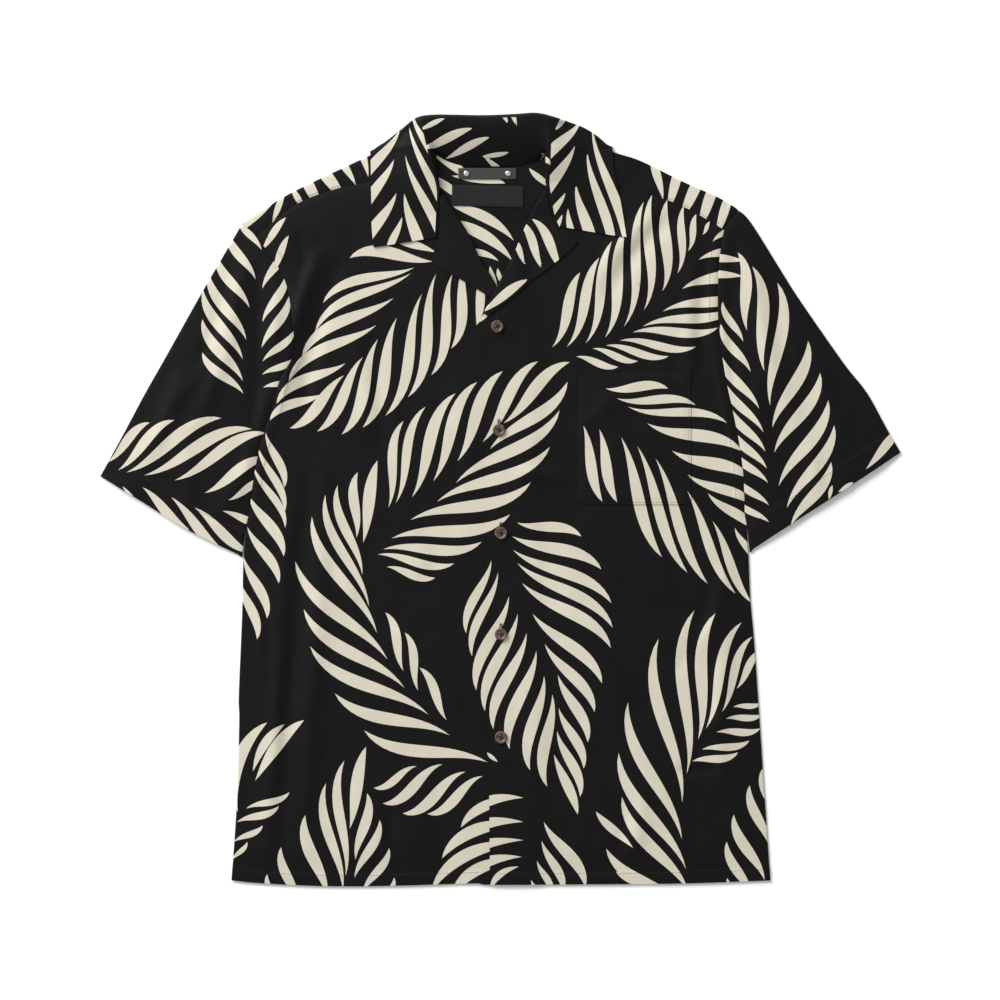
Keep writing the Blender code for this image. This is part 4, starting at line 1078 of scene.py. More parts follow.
def make_printed_cloth():
    """Rayon with a dry, slightly silky face: warm white leaves printed on black."""
    colours = bpy.context.scene.shirt_colours
    finish = Finish("printed_cloth", Sheen_Weight=0.015, Sheen_Roughness=0.35,
                    Specular_IOR_Level=0.10)
    place = finish.place("cloth")
    printed = finish.attribute("print") > 0.5
    cross = finish.mottle(place, (60, 1900, 1))
    down = finish.mottle(place, (1900, 60, 1), shift=(3, 7, 0))
    broad = finish.mottle(place, (9, 7, 1), shift=(1, 4, 0))
    fleck = finish.mottle(place, (420, 420, 1), 3.0)
    thread = (cross + down) * 0.5
    ground = finish.vary(thread * 0.7 + broad * 0.3, colours.ground, 0.72, 1.28)
    # Leaves blend by noise towards a darker tan: partly the print's own uneven tone, partly painted
    # shade of folds spread at random.
    leaf = finish.blend((thread * 0.55 + broad * 0.45 - 0.2) * 1.4, shade(colours.leaf_tint_and_fold_shade),
                        shade(colours.leaf))
    weave = finish.weave(place, WEAVE_PITCH)
    finish.paint(finish.blend(printed, ground, leaf), 0.60 + printed * 0.08 + (fleck - 0.5) * 0.16,
                 weave * 0.5 + thread * 1.1 + fleck * 0.3, 0.00012, 0.35)


def make_thread():
    """Matt sewing thread with a soft twist."""
    finish = Finish("sewing_thread", Sheen_Weight=0.05, Sheen_Roughness=0.4, Specular_IOR_Level=0.2)
    twist = finish.mottle(finish.place(), (900, 900, 900), 1.0)
    finish.paint(finish.vary(twist, bpy.context.scene.shirt_colours.thread, 0.6, 1.4),
                 0.45 + twist * 0.2, twist, 0.00008, 0.5)


def make_button_shell():
    """Dark brown nut: mottled, with fine grain lines, polished."""
    finish = Finish("nut_shell", Coat_Weight=0.25, Coat_Roughness=0.2, Specular_IOR_Level=0.25)
    place = finish.place()
    cloud = finish.mottle(place, (260, 340, 200), 4.0)
    grain = finish.mottle(place, (300, 1800, 300), 3.0, (2, 5, 1))
    part = ((cloud - 0.35) * 1.9 + (grain - 0.5) * 0.7).maths("MINIMUM", 1.0).maths("MAXIMUM", 0.0)
    finish.paint(finish.vary(part, bpy.context.scene.shirt_colours.button, 0.35, 1.6),
                 0.30 + cloud * 0.18, grain, 0.0001, 0.3)


def make_label_cloth():
    """Satin-woven ribbon, near black, with fine ribs across it."""
    finish = Finish("satin_ribbon", Specular_IOR_Level=0.12)
    place = finish.place()
    ribs = (finish.axes(place)[1] * (2 * math.pi / RIB_PITCH)).maths("SINE") * 0.5 + 0.5
    fine = finish.mottle(place, (2600, 300, 1))
    colour = finish.vary(fine * 0.6 + ribs * 0.4, bpy.context.scene.shirt_colours.label, 0.7, 1.35)
    finish.paint(colour, 0.5 + fine * 0.2, ribs * 0.6 + fine * 0.6, 0.00009, 0.5)


def make_tab_leather():
    """Grey tab with a fine pebble grain."""
    finish = Finish("pebbled_strip", Specular_IOR_Level=0.3)
    place = finish.place()
    cells = finish.value("ShaderNodeTexVoronoi", {"feature": "DISTANCE_TO_EDGE"},
                         {"Vector": place, "Scale": 1100.0})
    cloud = finish.mottle(place, (160, 240, 100), 3.0)
    colour = finish.vary(cloud * 0.8 + cells * 0.6, bpy.context.scene.shirt_colours.tab, 0.72, 1.25)
    finish.paint(colour, 0.42 + cloud * 0.2, cells.maths("MINIMUM", 0.25) * 4.0, 0.00012, 0.4)


def make_rivet_metal():
    """Bright domed metal, a little worn."""
    finish = Finish("polished_dome", Metallic=1.0)
    wear = finish.mottle(finish.place(), (700, 700, 700), 3.0)
    finish.paint(finish.blend(wear, (0.62, 0.62, 0.63, 1), (0.9, 0.9, 0.9, 1)), 0.16 + wear * 0.2,
                 wear, 0.00003, 0.2)


def make_floor_finish():
    """Plain pale floor."""
    finish = Finish("floor", Specular_IOR_Level=0.1)
    grain = finish.mottle(finish.place(), (900, 900, 900))
    colour = bpy.context.scene.shirt_stage.floor
    finish.paint(finish.vary(grain, colour, 0.99, 1), 0.85 + grain * 0.1)


# ---------------------------------------------------------------- sewing
def bar(start, end, radius):
    """One stitch: a small four-sided bar, pointed at its two ends."""
    start, end = np.asarray(start, float), np.asarray(end, float)
    along = (end - start) / np.linalg.norm(end - start)
    side = np.cross(along, (0, 0, 1))
    side = side / np.linalg.norm(side) if np.linalg.norm(side) > 1e-6 else np.array([1.0, 0, 0])
    up = np.cross(side, along)
    places = [start]
    for part, size in ((0.16, 0.85), (0.5, 1.0), (0.84, 0.85)):
        middle = start + (end - start) * part
        places.extend(middle + radius * size * (side * math.cos(turn) + up * math.sin(turn))
                      for turn in (0, math.pi / 2, math.pi, 1.5 * math.pi))
    places.append(end)
    faces = [(0, 1 + (i + 1) % 4, 1 + i) for i in range(4)]
    faces += [(1 + 4 * r + i, 1 + 4 * r + (i + 1) % 4, 5 + 4 * r + (i + 1) % 4, 5 + 4 * r + i)
              for r in (0, 1) for i in range(4)]
    faces += [(9 + i, 9 + (i + 1) % 4, 13) for i in range(4)]
    return places, faces


def stitches(starts, ends, height, lift, radius):
    """A stitch from each start to its end, both lifted off the middle of the cloth below."""
    starts, ends = (np.column_stack([spots, height(spots) + lift]) for spots in (starts, ends))
    return [bar(start, end, radius) for start, end in zip(starts, ends)]


def row_of_stitches(line, height, lift, pitch=3.1, length=2.2):
    """Running stitches along a line, each lying on the cloth below it."""
    line = np.asarray(line, float)
    starts = np.arange(0.5, travel_along(line)[-1] - length, pitch)
    ends = points_at(line, starts + length)
    return stitches(points_at(line, starts), ends, height, lift, THREAD_RADIUS)


def sew(name, parts):
    """Join many small closed shapes of thread, given in mm, into one piece."""
    corners, faces = [], []
    for places, sides in parts:
        start = len(corners)
        corners.extend(tuple((np.asarray(place) - BOX_CENTRE) * MM) for place in places)
        faces.extend(tuple(start + index for index in side) for side in sides)
    data = bpy.data.meshes.new(name)
    data.from_pydata(corners, [], faces)
    piece = add_piece(name, data)
    bpy.ops.object.mode_set(mode="EDIT")
    bpy.ops.mesh.select_all(action="SELECT")
    bpy.ops.mesh.normals_make_consistent(inside=False)
    bpy.ops.object.mode_set(mode="OBJECT")
    bpy.ops.object.shade_smooth()
    data.materials.append(bpy.data.materials["sewing_thread"])
    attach(piece, "root")


def strand(points, radius, sides=6):
    """A round thread along points, closed at its ends."""
    points = np.asarray(points, float)
    along = np.gradient(points, axis=0)
    places, faces = [], []
    for point, ahead in zip(points, along):
        ahead = ahead / np.linalg.norm(ahead)
        side = np.cross(ahead, (0.13, 0.21, 0.97))
        side /= np.linalg.norm(side)
        up = np.cross(side, ahead)
        places.extend(point + radius * (side * math.cos(turn) + up * math.sin(turn))
                      for turn in np.arange(sides) * 2 * math.pi / sides)
    for ring in range(len(points) - 1):
        for side in range(sides):
            after = (side + 1) % sides
            faces.append((ring * sides + side, ring * sides + after,
                          (ring + 1) * sides + after, (ring + 1) * sides + side))
    faces.append(tuple(range(sides)))
    faces.append(tuple(reversed(range(len(places) - sides, len(places)))))
    return places, faces


# ---------------------------------------------------------------- modelling by hand
def select_faces(piece, test):
    """Leave only the faces that pass a test of their centre and normal selected, in edit mode."""
    bpy.ops.object.mode_set(mode="EDIT")
    bpy.ops.mesh.select_mode(type="FACE")
    bpy.ops.mesh.select_all(action="DESELECT")
    mesh = bmesh.from_edit_mesh(piece.data)
    mesh.normal_update()
    for face in mesh.faces:
        face.select = test(face.calc_center_median(), face.normal)
    mesh.select_flush_mode()
    bmesh.update_edit_mesh(piece.data)


def select_top(piece, middle):
    """Leave only the upward face over a place selected."""
    select_faces(piece, lambda centre, normal: normal.z > 0.9
                 and (centre.xy - middle).length < 0.1 * MM)


def add_cylinder(vertices, radius, depth, place):
    """Add a cylinder as the only selected piece."""
    bpy.ops.object.select_all(action="DESELECT")
    bpy.ops.mesh.primitive_cylinder_add(vertices=vertices, radius=radius, depth=depth,
                                        location=place)
    bpy.ops.object.transform_apply(location=True, rotation=True, scale=True)
    return bpy.context.object


def settle(piece, name, finish, node):
    """Apply the place of a hand-modelled piece, name it, and let it stand for its solid."""
    bpy.ops.object.mode_set(mode="OBJECT")
    activate(piece)
    bpy.ops.object.transform_apply(location=True, rotation=True, scale=True)
    piece.name = piece.data.name = name
    piece.data.materials.clear()
    piece.data.materials.append(bpy.data.materials[finish])
    bpy.ops.object.shade_smooth_by_angle(angle=HARD_EDGE)
    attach(piece, "root")
    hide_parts(node)


# ---------------------------------------------------------------- sizes and colours
class ShirtCloth(bpy.types.PropertyGroup):
    wall: FloatProperty(
        name="Cloth wall", description="Thickness of one layer of cloth",
        default=0.8 * MM, min=0.2 * MM, unit="LENGTH")
    collar_wall: FloatProperty(
        name="Collar wall", description="Thickness of the two-ply collar",
        default=1.0 * MM, min=0.2 * MM, unit="LENGTH")
    mesh_step: FloatProperty(
        name="Mesh step", description="Spacing of the points inside a panel",
        default=4.8 * MM, min=2 * MM, unit="LENGTH")
    ripple: FloatProperty(
        name="Ripple", description="Height of the slight unevenness of the cloth",
        default=0.9 * MM, min=0.0, unit="LENGTH")
    seam_groove: FloatProperty(
        name="Seam groove", description="How far a seam sinks below its cloth",
        default=0.75 * MM, min=0.0, unit="LENGTH")
    band_rise: FloatProperty(
        name="Band rise", description="How far a seam allowance or a hem is raised",
        default=0.3 * MM, min=0.0, unit="LENGTH")


class ShirtColours(bpy.types.PropertyGroup):
    ground: FloatVectorProperty(
        name="Ground", description="Ground of the print", subtype="COLOR",
        default=(0.0046, 0.0045, 0.0045))
    leaf: FloatVectorProperty(
        name="Leaf", description="Printed leaves", subtype="COLOR", default=(0.62, 0.583, 0.482))
    # Darker tan mixed into the leaves by noise: partly the print's uneven tone, partly painted fold
    # shade.
    leaf_tint_and_fold_shade: FloatVectorProperty(
        name="Leaf shade", description="Printed leaves where the ink is thin", subtype="COLOR",
        default=(0.53, 0.488, 0.393))
    thread: FloatVectorProperty(
        name="Thread", description="Sewing thread", subtype="COLOR", default=(0.012, 0.012, 0.0125))
    button: FloatVectorProperty(
        name="Button", description="Shell of the buttons", subtype="COLOR",
        default=(0.140, 0.090, 0.070))
    label: FloatVectorProperty(
        name="Label", description="Neck label", subtype="COLOR", default=(0.0140, 0.0142, 0.0145))
    tab: FloatVectorProperty(
        name="Tab", description="Tab above the label", subtype="COLOR",
        default=(0.037, 0.036, 0.035))


class ShirtButtons(bpy.types.PropertyGroup):
    diameter: FloatProperty(
        name="Diameter", description="Diameter of a button",
        default=13 * MM, min=5 * MM, unit="LENGTH")
    hole: FloatProperty(
        name="Hole", description="Diameter of a thread hole",
        default=1.7 * MM, min=0.5 * MM, unit="LENGTH")
    spacing: FloatProperty(
        name="Hole spacing", description="Distance between thread holes",
        default=3.2 * MM, min=1 * MM, unit="LENGTH")
    sides: IntProperty(
        name="Sides", description="Corners round a button", default=48, min=12, max=96)
    buttonhole: FloatProperty(
        name="Buttonhole", description="Length of a buttonhole",
        default=17 * MM, min=8 * MM, unit="LENGTH")


class ShirtStage(bpy.types.PropertyGroup):
    camera_height: FloatProperty(
        name="Camera height", description="Height of the camera above the shirt",
        default=2.917, min=0.5, unit="LENGTH")
    floor: FloatVectorProperty(
        name="Floor", description="Colour of the floor", subtype="COLOR",
        default=(0.96, 0.96, 0.96))
    sky: FloatProperty(
        name="Sky", description="Strength of the even light from all round", default=0.55, min=0.0)
    lamp: FloatProperty(
        name="Lamp", description="Power of the soft lamp beyond the collar",
        default=545.0, min=0.0, unit="POWER")


# ---------------------------------------------------------------- pieces
class SHIRT_OT_finishes(bpy.types.Operator):
    """Make the finishes of cloth, thread, buttons, label, tab, rivets and floor"""
    bl_idname = "shirt.finishes"
    bl_label = "Finishes"

    def execute(self, context):
        for make in (make_printed_cloth, make_thread, make_button_shell, make_label_cloth,
                     make_tab_leather, make_rivet_metal, make_floor_finish):
            make()
        return {"FINISHED"}


class SHIRT_OT_back(bpy.types.Operator):
    """Lay the back panel on the floor, from the yoke seam to the hem"""
    bl_idname = "shirt.back"
    bl_label = "Back"

    def execute(self, context):
        outline = join_lines(hem, side_left[::-1], split_at(armhole_left, BACK_SEAM_Y, False)[::-1],
                             split_at(armhole_right, BACK_SEAM_Y, False), side_right)
        outline = inset_outline(counter_clockwise(outline), SEAM_GAP)
        outline[:, 1] = np.maximum(outline[:, 1], BACK_HEM_Y)
        leaves = plain_fronds(BACK_FRONDS, 1, grow(NECK_ROWS, NECK_LEAFLETS, 11))
        make_cloth("back", [cut_panel(join_lines(outline), leaves, back_mid)], (0.57, 0.66), "laid",
                   ["floor"])
        return {"FINISHED"}


class SHIRT_OT_yoke(bpy.types.Operator):
    """Fold the yoke over both shoulders, from the back seam to the two front seams"""
    bl_idname = "shirt.yoke"
    bl_label = "Yoke"

    def execute(self, context):
        below = join_lines(split_at(armhole_left, BACK_SEAM_Y, True)[::-1], shoulder_left[::-1],
                           neck_back[::-1], shoulder_right,
                           split_at(armhole_right, BACK_SEAM_Y, True))
        leaves = plain_fronds(YOKE_FRONDS, 1, grow(NECK_ROWS, NECK_LEAFLETS, 11))
        sheets = [cut_panel(below, leaves, back_mid)]
        leaves = grow(SHOULDER_ROWS, SHOULDER_LEAFLETS, 13)
        for shoulder, seam, armhole, outward in (
                (shoulder_right, yoke_seam_right, armhole_right, -1),
                (shoulder_left, yoke_seam_left, armhole_left, 1)):
            turned = offset_line(shoulder, outward * FOLD_RADIUS * math.pi)
            strip = join_lines(turned, split_at(armhole, seam[-1][1], True), seam[::-1],
                               shoulder[:1])
            guides = fold_guides(shoulder, outward, math.pi)
            guides.append(offset_line(seam, outward * SEAM_GUIDE)[2:-2])
            sheets.append(cut_panel(strip, leaves, with_seams(front_mid), [(shoulder, outward)],
                                    guides))
        make_cloth("yoke", sheets, (0.56, 0.22), "folded", ["floor"])
        return {"FINISHED"}


class SHIRT_OT_fronts(bpy.types.Operator):
    """Lay both fronts, the left one lapped over the right one, with their sides turned down"""
    bl_idname = "shirt.fronts"
    bl_label = "Fronts"

    def execute(self, context):
        self.make("front_right", self.right_outline(), side_right, -1, front_mid, (0.31, 0.75),
                  ["back_cloth"])
        self.make("front_left", self.left_outline(), side_left, 1, front_left_mid, (0.30, 0.75),
                  ["front_right_cloth", "back_cloth"])
        return {"FINISHED"}

    def make(self, node, panel, side, outward, height, cut, rests_on):
        outline, armhole, low_hem = panel
        guides = fold_guides(side, outward, SIDE_TURN)
        guides.append(offset_line(armhole, -outward * SEAM_GUIDE)[3:-3])
        guides += [line[6:-3] for line in band_guides(armhole, -outward, ARMHOLE_BAND)]
        guides += [line[2:-2] for line in band_guides(low_hem, 1, HEM_BAND)]
        outline = inset_outline(counter_clockwise(outline), SEAM_GAP)
        sheet = cut_panel(outline, front_leaves(outward < 0), with_seams(height),
                          [(side, outward)], guides)
        make_cloth(node, [sheet], cut, "laid", rests_on)

    def right_outline(self):
        roll = offset_line(roll_right, -LAPEL_WRAP)
        roll = roll[roll[:, 1] < YOKE_SEAM_RIGHT[0][1] - 0.5]
        edge = smooth_curve(UNDER_EDGE, LONG_LINE_STEP)
        armhole = split_at(armhole_right, YOKE_SEAM_RIGHT[-1][1], False)
        low_hem = hem[hem[:, 0] < edge[-1][0]]
        turned = offset_line(side_right, -FOLD_RADIUS * SIDE_TURN)
        outline = join_lines(low_hem, edge[::-1], roll[::-1], yoke_seam_right[1:], armhole,
                             side_right[:1], turned)
        return outline, armhole, low_hem

    def left_outline(self):
        roll = offset_line(roll_left, LAPEL_WRAP)
        roll = roll[(roll[:, 1] < YOKE_SEAM_LEFT[0][1] - 0.5) & (roll[:, 1] > LEFT_ROLL_FOOT_Y)]
        edge = smooth_curve(OPENING_EDGE, LONG_LINE_STEP)
        armhole = split_at(armhole_left, YOKE_SEAM_LEFT[-1][1], False)
        low_hem = hem[hem[:, 0] > edge[-1][0] + 3]
        turned = offset_line(side_left, FOLD_RADIUS * SIDE_TURN)
        outline = join_lines(low_hem, turned[::-1], side_left[:1], armhole[::-1],
                             yoke_seam_left[1:][::-1], roll, edge)
        return outline, armhole, low_hem


class SHIRT_OT_sleeves(bpy.types.Operator):
    """Lay both short sleeves as flattened tubes, folded along the top and the underarm"""
    bl_idname = "shirt.sleeves"
    bl_label = "Sleeves"

    def execute(self, context):
        self.make("sleeve_right", SLEEVE_LINES["right"], grow(SLEEVE_RIGHT_ROWS, (), 14))
        self.make("sleeve_left", SLEEVE_LINES["left"],
                  grow(SLEEVE_LEFT_ROWS, SLEEVE_LEFT_LEAFLETS, 15))
        return {"FINISHED"}

    def make(self, node, drawn, leaves):
        lines, outward = sleeve_lines(*drawn), drawn[-1]
        outer, armhole, cuff, underarm = lines
        turn = FOLD_RADIUS * math.pi
        tube = join_lines(offset_line(outer, outward * turn), cuff,
                          offset_line(underarm, -outward * turn)[::-1], underarm[:1], armhole[::-1])
        guides = fold_guides(outer, outward, math.pi) + fold_guides(underarm, -outward, math.pi)
        guides.append(offset_line(armhole, outward * SEAM_GUIDE)[3:-3])
        guides += [line[1:-1] for line in band_guides(cuff, -outward, CUFF_BAND)]
        upper = cut_panel(tube, leaves, sleeve_height(lines),
                          [(outer, outward), (underarm, -outward)], guides)
        below = join_lines(outer, cuff[:-1], underarm[::-1], armhole[::-1])
        lower = cut_panel(below, plain_fronds(SLEEVE_BACK_FRONDS, outward),
                          lambda spots: np.full(len(spots), FLOOR_MID))
        make_cloth(node, [upper, lower], (0.42, 0.32), "folded", ["floor"])


def sleeve_lines(outer, armhole, cuff, outward):
    """Top fold, armhole seam, cuff and underarm fold of a sleeve."""
    outer = smooth_curve(outer, LONG_LINE_STEP)
    cuff = smooth_curve(cuff, LONG_LINE_STEP)
    armhole = offset_line(armhole, 2 * SEAM_GAP * outward)
    outer[0] = outer[0] + (outer[1] - outer[0]) * 0.15
    armhole[0] = outer[0]
    inset = np.array([outward * (UNDERARM_CLEARANCE + FOLD_RADIUS), 0])
    underarm = even_points([armhole[-1], cuff[-1]], LONG_LINE_STEP)
    underarm = underarm + inset * smooth_step(0, 12, armhole[-1][1] - underarm[:, 1])[:, None]
    cuff[-1] = underarm[-1]
    return outer, armhole, cuff, underarm


def sleeve_height(lines):
    """A function that gives the middle of the wall of a sleeve's upper layer."""
    outer, armhole, cuff, underarm = lines
    groove, band = seam_sizes()

    def height(places):
        rim = np.minimum(distance_to(outer, places), distance_to(underarm, places))
        inward = smooth_step(0, SLEEVE_HEAD_EASE, distance_to(armhole, places))
        relief = crease_height(SLEEVE_CREASES, places) * inward + ripple(places)
        puff = smooth_step(0, SLEEVE_PUFF_WIDTH, rim) * above(LOWEST_CREASE, SLEEVE_PUFF + relief)
        hemmed = band * band_at(cuff, CUFF_BAND, places) * smooth_step(0, 6, rim)
        return TOP_MID + puff - groove * groove_at(armhole, places) + hemmed

    return height


SLEEVE_LINES = {"right": (SLEEVE_OUTER_RIGHT, armhole_right, CUFF_RIGHT, -1),
                "left": (SLEEVE_OUTER_LEFT, armhole_left, CUFF_LEFT, 1)}


class SHIRT_OT_collar(bpy.types.Operator):
    """Stand the collar round the neck and turn its fall down over the shoulders"""
    bl_idname = "shirt.collar"
    bl_label = "Collar"

    def execute(self, context):
        stations = positions(COLLAR, COLLAR_STEPS)
        under = np.interp(stations, range(len(COLLAR)), [station[-1] for station in COLLAR])
        section = collar_section(spline_at(COLLAR, stations), under)
        columns = positions(section, COLLAR_COLUMNS)
        rows = spline_at(section, columns).transpose(1, 0, 2)
        places = rows[..., :2].reshape(-1, 2)
        fall = leaf_depth(grow(COLLAR_ROWS, COLLAR_LEAFLETS, 21), places)
        stand = leaf_depth(grow(STAND_ROWS, STAND_LEAFLETS, 22), places)
        depth = np.where(np.tile(columns, len(rows)) > FALL_COLUMN, fall, stand)
        make_cloth("collar", [grid_sheet(rows, depth - THIN_TIP)], (0.53, 0.13), "folded",
                   ["yoke_cloth", "front_left_cloth", "front_right_cloth"],
                   context.scene.shirt_cloth.collar_wall)
        return {"FINISHED"}


def collar_section(table, under):
    """Sections across the collar's middle surface: columns of places, one row for each station."""
    neck, neck_z, roll = table[:, 0:2], table[:, 2], table[:, 3:5]
    rise, fold, edge = np.maximum(table[:, 5], 0), table[:, 6:8], table[:, 8:10]
    top = leaf_mid(roll) + rise
    lying = smooth_step(*FALL_LIES, np.linalg.norm(fold - roll, axis=1))
    fold_rest = leaf_mid(fold)
    turned = (top + COLLAR_FLOOR_MID) / 2 * (1 - lying) + (fold_rest + COLLAR_FLOOR_MID) / 2 * lying
    fold_z = fold_rest * (1 - under) + turned * under
    foot = np.where(np.linalg.norm(neck - roll, axis=1) > 0.5, neck_z, top)
    section = []
    for part in (0.0, 0.3, 0.6, 0.85, 1.0):
        place = neck + (roll - neck) * part
        section.append(np.column_stack([place, foot + (top - foot) * math.sin(part * math.pi / 2)]))
    for part in (0.15, 0.38, 0.65, 0.9):
        place = roll + (fold - roll) * part
        rest = leaf_mid(place)
        draped = rest + rise * (1 - smooth_step(0.0, 0.8, part))
        rounded = fold_z + (top - fold_z) * math.sqrt(1 - part ** 2)
        section.append(np.column_stack([place, rounded * (1 - lying) + draped * lying]))
    section.append(np.column_stack([fold, fold_z]))
    width = np.linalg.norm(edge - fold, axis=1)
    onward = (edge - fold) / width[:, None]
    turn = np.minimum(fold_z - COLLAR_FLOOR_MID, FALL_TURN * width)
    for angle in (30, 60, 90):
        angle = math.radians(angle)
        place = fold + onward * (turn * (1 - math.cos(angle)))[:, None]
        below = fold_z - (fold_z - COLLAR_FLOOR_MID) * math.sin(angle)
        section.append(np.column_stack([place, leaf_mid(place) * (1 - under) + below * under]))
    start = fold + onward * turn[:, None]
    for part in (0.5, 1.0):
        place = start + (edge - start) * part
        low = leaf_mid(place) * (1 - under) + COLLAR_FLOOR_MID * under
        section.append(np.column_stack([place, low]))
    return np.array(section)


class SHIRT_OT_lapels(bpy.types.Operator):
    """Turn the two facings back on their fronts"""
    bl_idname = "shirt.lapels"
    bl_label = "Lapels"

    def execute(self, context):
        left_leaves = grow(LAPEL_ROWS, LAPEL_LEAFLETS, 23)
        for side, table, height, leaves in (("right", LAPEL_RIGHT, front_mid, []),
                                            ("left", LAPEL_LEFT, front_left_mid, left_leaves)):
            rows = lapel_rows(table, height)
            printed = leaf_depth(leaves, rows[..., :2].reshape(-1, 2))
            make_cloth("lapel_" + side, [grid_sheet(rows, printed)], (0.075, 0.16), "folded",
                       [f"front_{side}_cloth"])
        return {"FINISHED"}


def lapel_rows(table, height):
    """Sections of a lapel: round its roll from the front below it, then flat to its free edge."""
    table = spline_at(table, positions(table, LAPEL_STEPS))
    roll, edge = table[:, :2], table[:, 2:]
    width = np.linalg.norm(edge - roll, axis=1)
    outward = (edge - roll) / width[:, None]
    bend = np.minimum(LAPEL_BEND, width / 2)
    rest = height(roll + outward * bend[:, None]) + LAYER + REST_CLEARANCE
    low = rest - 2 * np.minimum(bend, LAPEL_RADIUS)
    reach = np.minimum(LAPEL_WRAP, width)
    section = [np.column_stack([roll + outward * reach[:, None], low])]
    for angle in (-90, -60, -30, 0, 30, 60):
        turn = math.radians(angle)
        place = roll + outward * (bend * (1 - math.cos(turn)))[:, None]
        tall = (rest + low) / 2 + (rest - low) / 2 * math.sin(turn)
        section.append(np.column_stack([place, tall]))
    for part in (0.0, 0.25, 0.5, 0.75, 1.0):
        place = roll + outward * (bend + (width - bend) * part)[:, None]
        section.append(np.column_stack([place, height(place) + LAYER + REST_CLEARANCE]))
    return spline_at(section, positions(section, LAPEL_COLUMNS)).transpose(1, 0, 2)


class SHIRT_OT_pocket(bpy.types.Operator):
    """Sew the chest pocket on the left front, its print matched to the front"""
    bl_idname = "shirt.pocket"
    bl_label = "Pocket"

    def execute(self, context):
        outline = np.array(POCKET, float)[::-1]
        edges = zip(outline, np.roll(outline, -1, axis=0))
        dense = join_lines(*[even_points(edge, LINE_STEP) for edge in edges])
        inner = inset_outline(counter_clockwise(dense), POCKET_SEAM)
        sheet = cut_panel(dense, front_leaves(False), pocket_mid, (), [closed(inner)])
        make_cloth("pocket", [sheet], (0.12, 0.14), "laid", ["front_left_cloth"])
        return {"FINISHED"}


def pocket_mid(places):
    """The pocket's edges are sewn close to the front, and its middle stands a little off it."""
    away = distance_to(closed(np.array(POCKET, float)), places)
    return front_left_mid(places) + POCKET_GAP + POCKET_PUFF * smooth_step(*POCKET_EASE, away)


class SHIRT_OT_stitching(bpy.types.Operator):
    """Sew the rows of topstitching on hem, cuffs, armholes, yoke seams and pocket"""
    bl_idname = "shirt.stitching"
    bl_label = "Topstitching"

    def execute(self, context):
        lift = context.scene.shirt_cloth.wall / MM / 2 + THREAD_LIFT
        front = with_seams(upper_mid)
        parts = []
        for part in (hem[hem[:, 0] < STITCH_BREAK[0]], hem[hem[:, 0] > STITCH_BREAK[1]]):
            row = offset_line(part, HEM_BAND - BAND_STITCH)
            parts += row_of_stitches(row[1:-1], front, lift)
        for armhole, outward in ((armhole_right, -1), (armhole_left, 1)):
            row = offset_line(armhole, -outward * (ARMHOLE_BAND - BAND_STITCH))
            parts += row_of_stitches(row[4:-3], front, lift)
        for seam, outward in ((yoke_seam_right, -1), (yoke_seam_left, 1)):
            parts += row_of_stitches(offset_line(seam, outward * TOPSTITCH)[8:-2], front, lift)
        pocket = inset_outline(counter_clockwise(np.array(POCKET, float)), TOPSTITCH)
        pocket = np.roll(pocket, -int(np.argmax(pocket.sum(axis=1))), axis=0)
        for start, end in zip(pocket, np.roll(pocket, -1, axis=0)):
            if min(start[1], end[1]) < POCKET_OPENING:
                parts += row_of_stitches([start, end], pocket_mid, lift)
        parts += row_of_stitches(POCKET_HEM, pocket_mid, lift)
        for drawn in SLEEVE_LINES.values():
            lines = sleeve_lines(*drawn)
            row = offset_line(lines[2], -drawn[-1] * (CUFF_BAND - BAND_STITCH))
            parts += row_of_stitches(row[1:-1], sleeve_height(lines), lift)
        sew("topstitching", parts)
        return {"FINISHED"}


class SHIRT_OT_buttonholes(bpy.types.Operator):
    """Work a satin-stitched buttonhole under each button"""
    bl_idname = "shirt.buttonholes"
    bl_label = "Buttonholes"

    def execute(self, context):
        lift = context.scene.shirt_cloth.wall / MM / 2 + BUTTONHOLE_LIFT
        half = context.scene.shirt_buttons.buttonhole / MM / 2
        spots = np.arange(-half, half, SATIN_PITCH)
        parts = []
        for x, y in BUTTON_CENTRES:
            for side in (-1, 1):
                inner, outer = (
                    np.column_stack([np.full(len(spots), x + side * away), y + up + spots])
                    for away, up in SATIN_ENDS)
                parts += stitches(inner, outer, front_left_mid, lift, SATIN_RADIUS)
            for end in (-half - 0.3, half + 0.1):
                left, right = (np.array([(x + away, y + BUTTONHOLE_UP + end)])
                               for away in (-BAR_TACK_REACH, BAR_TACK_REACH))
                parts += stitches(left, right, front_left_mid, lift + 0.05, BAR_TACK_RADIUS)
        sew("buttonholes", parts)
        return {"FINISHED"}


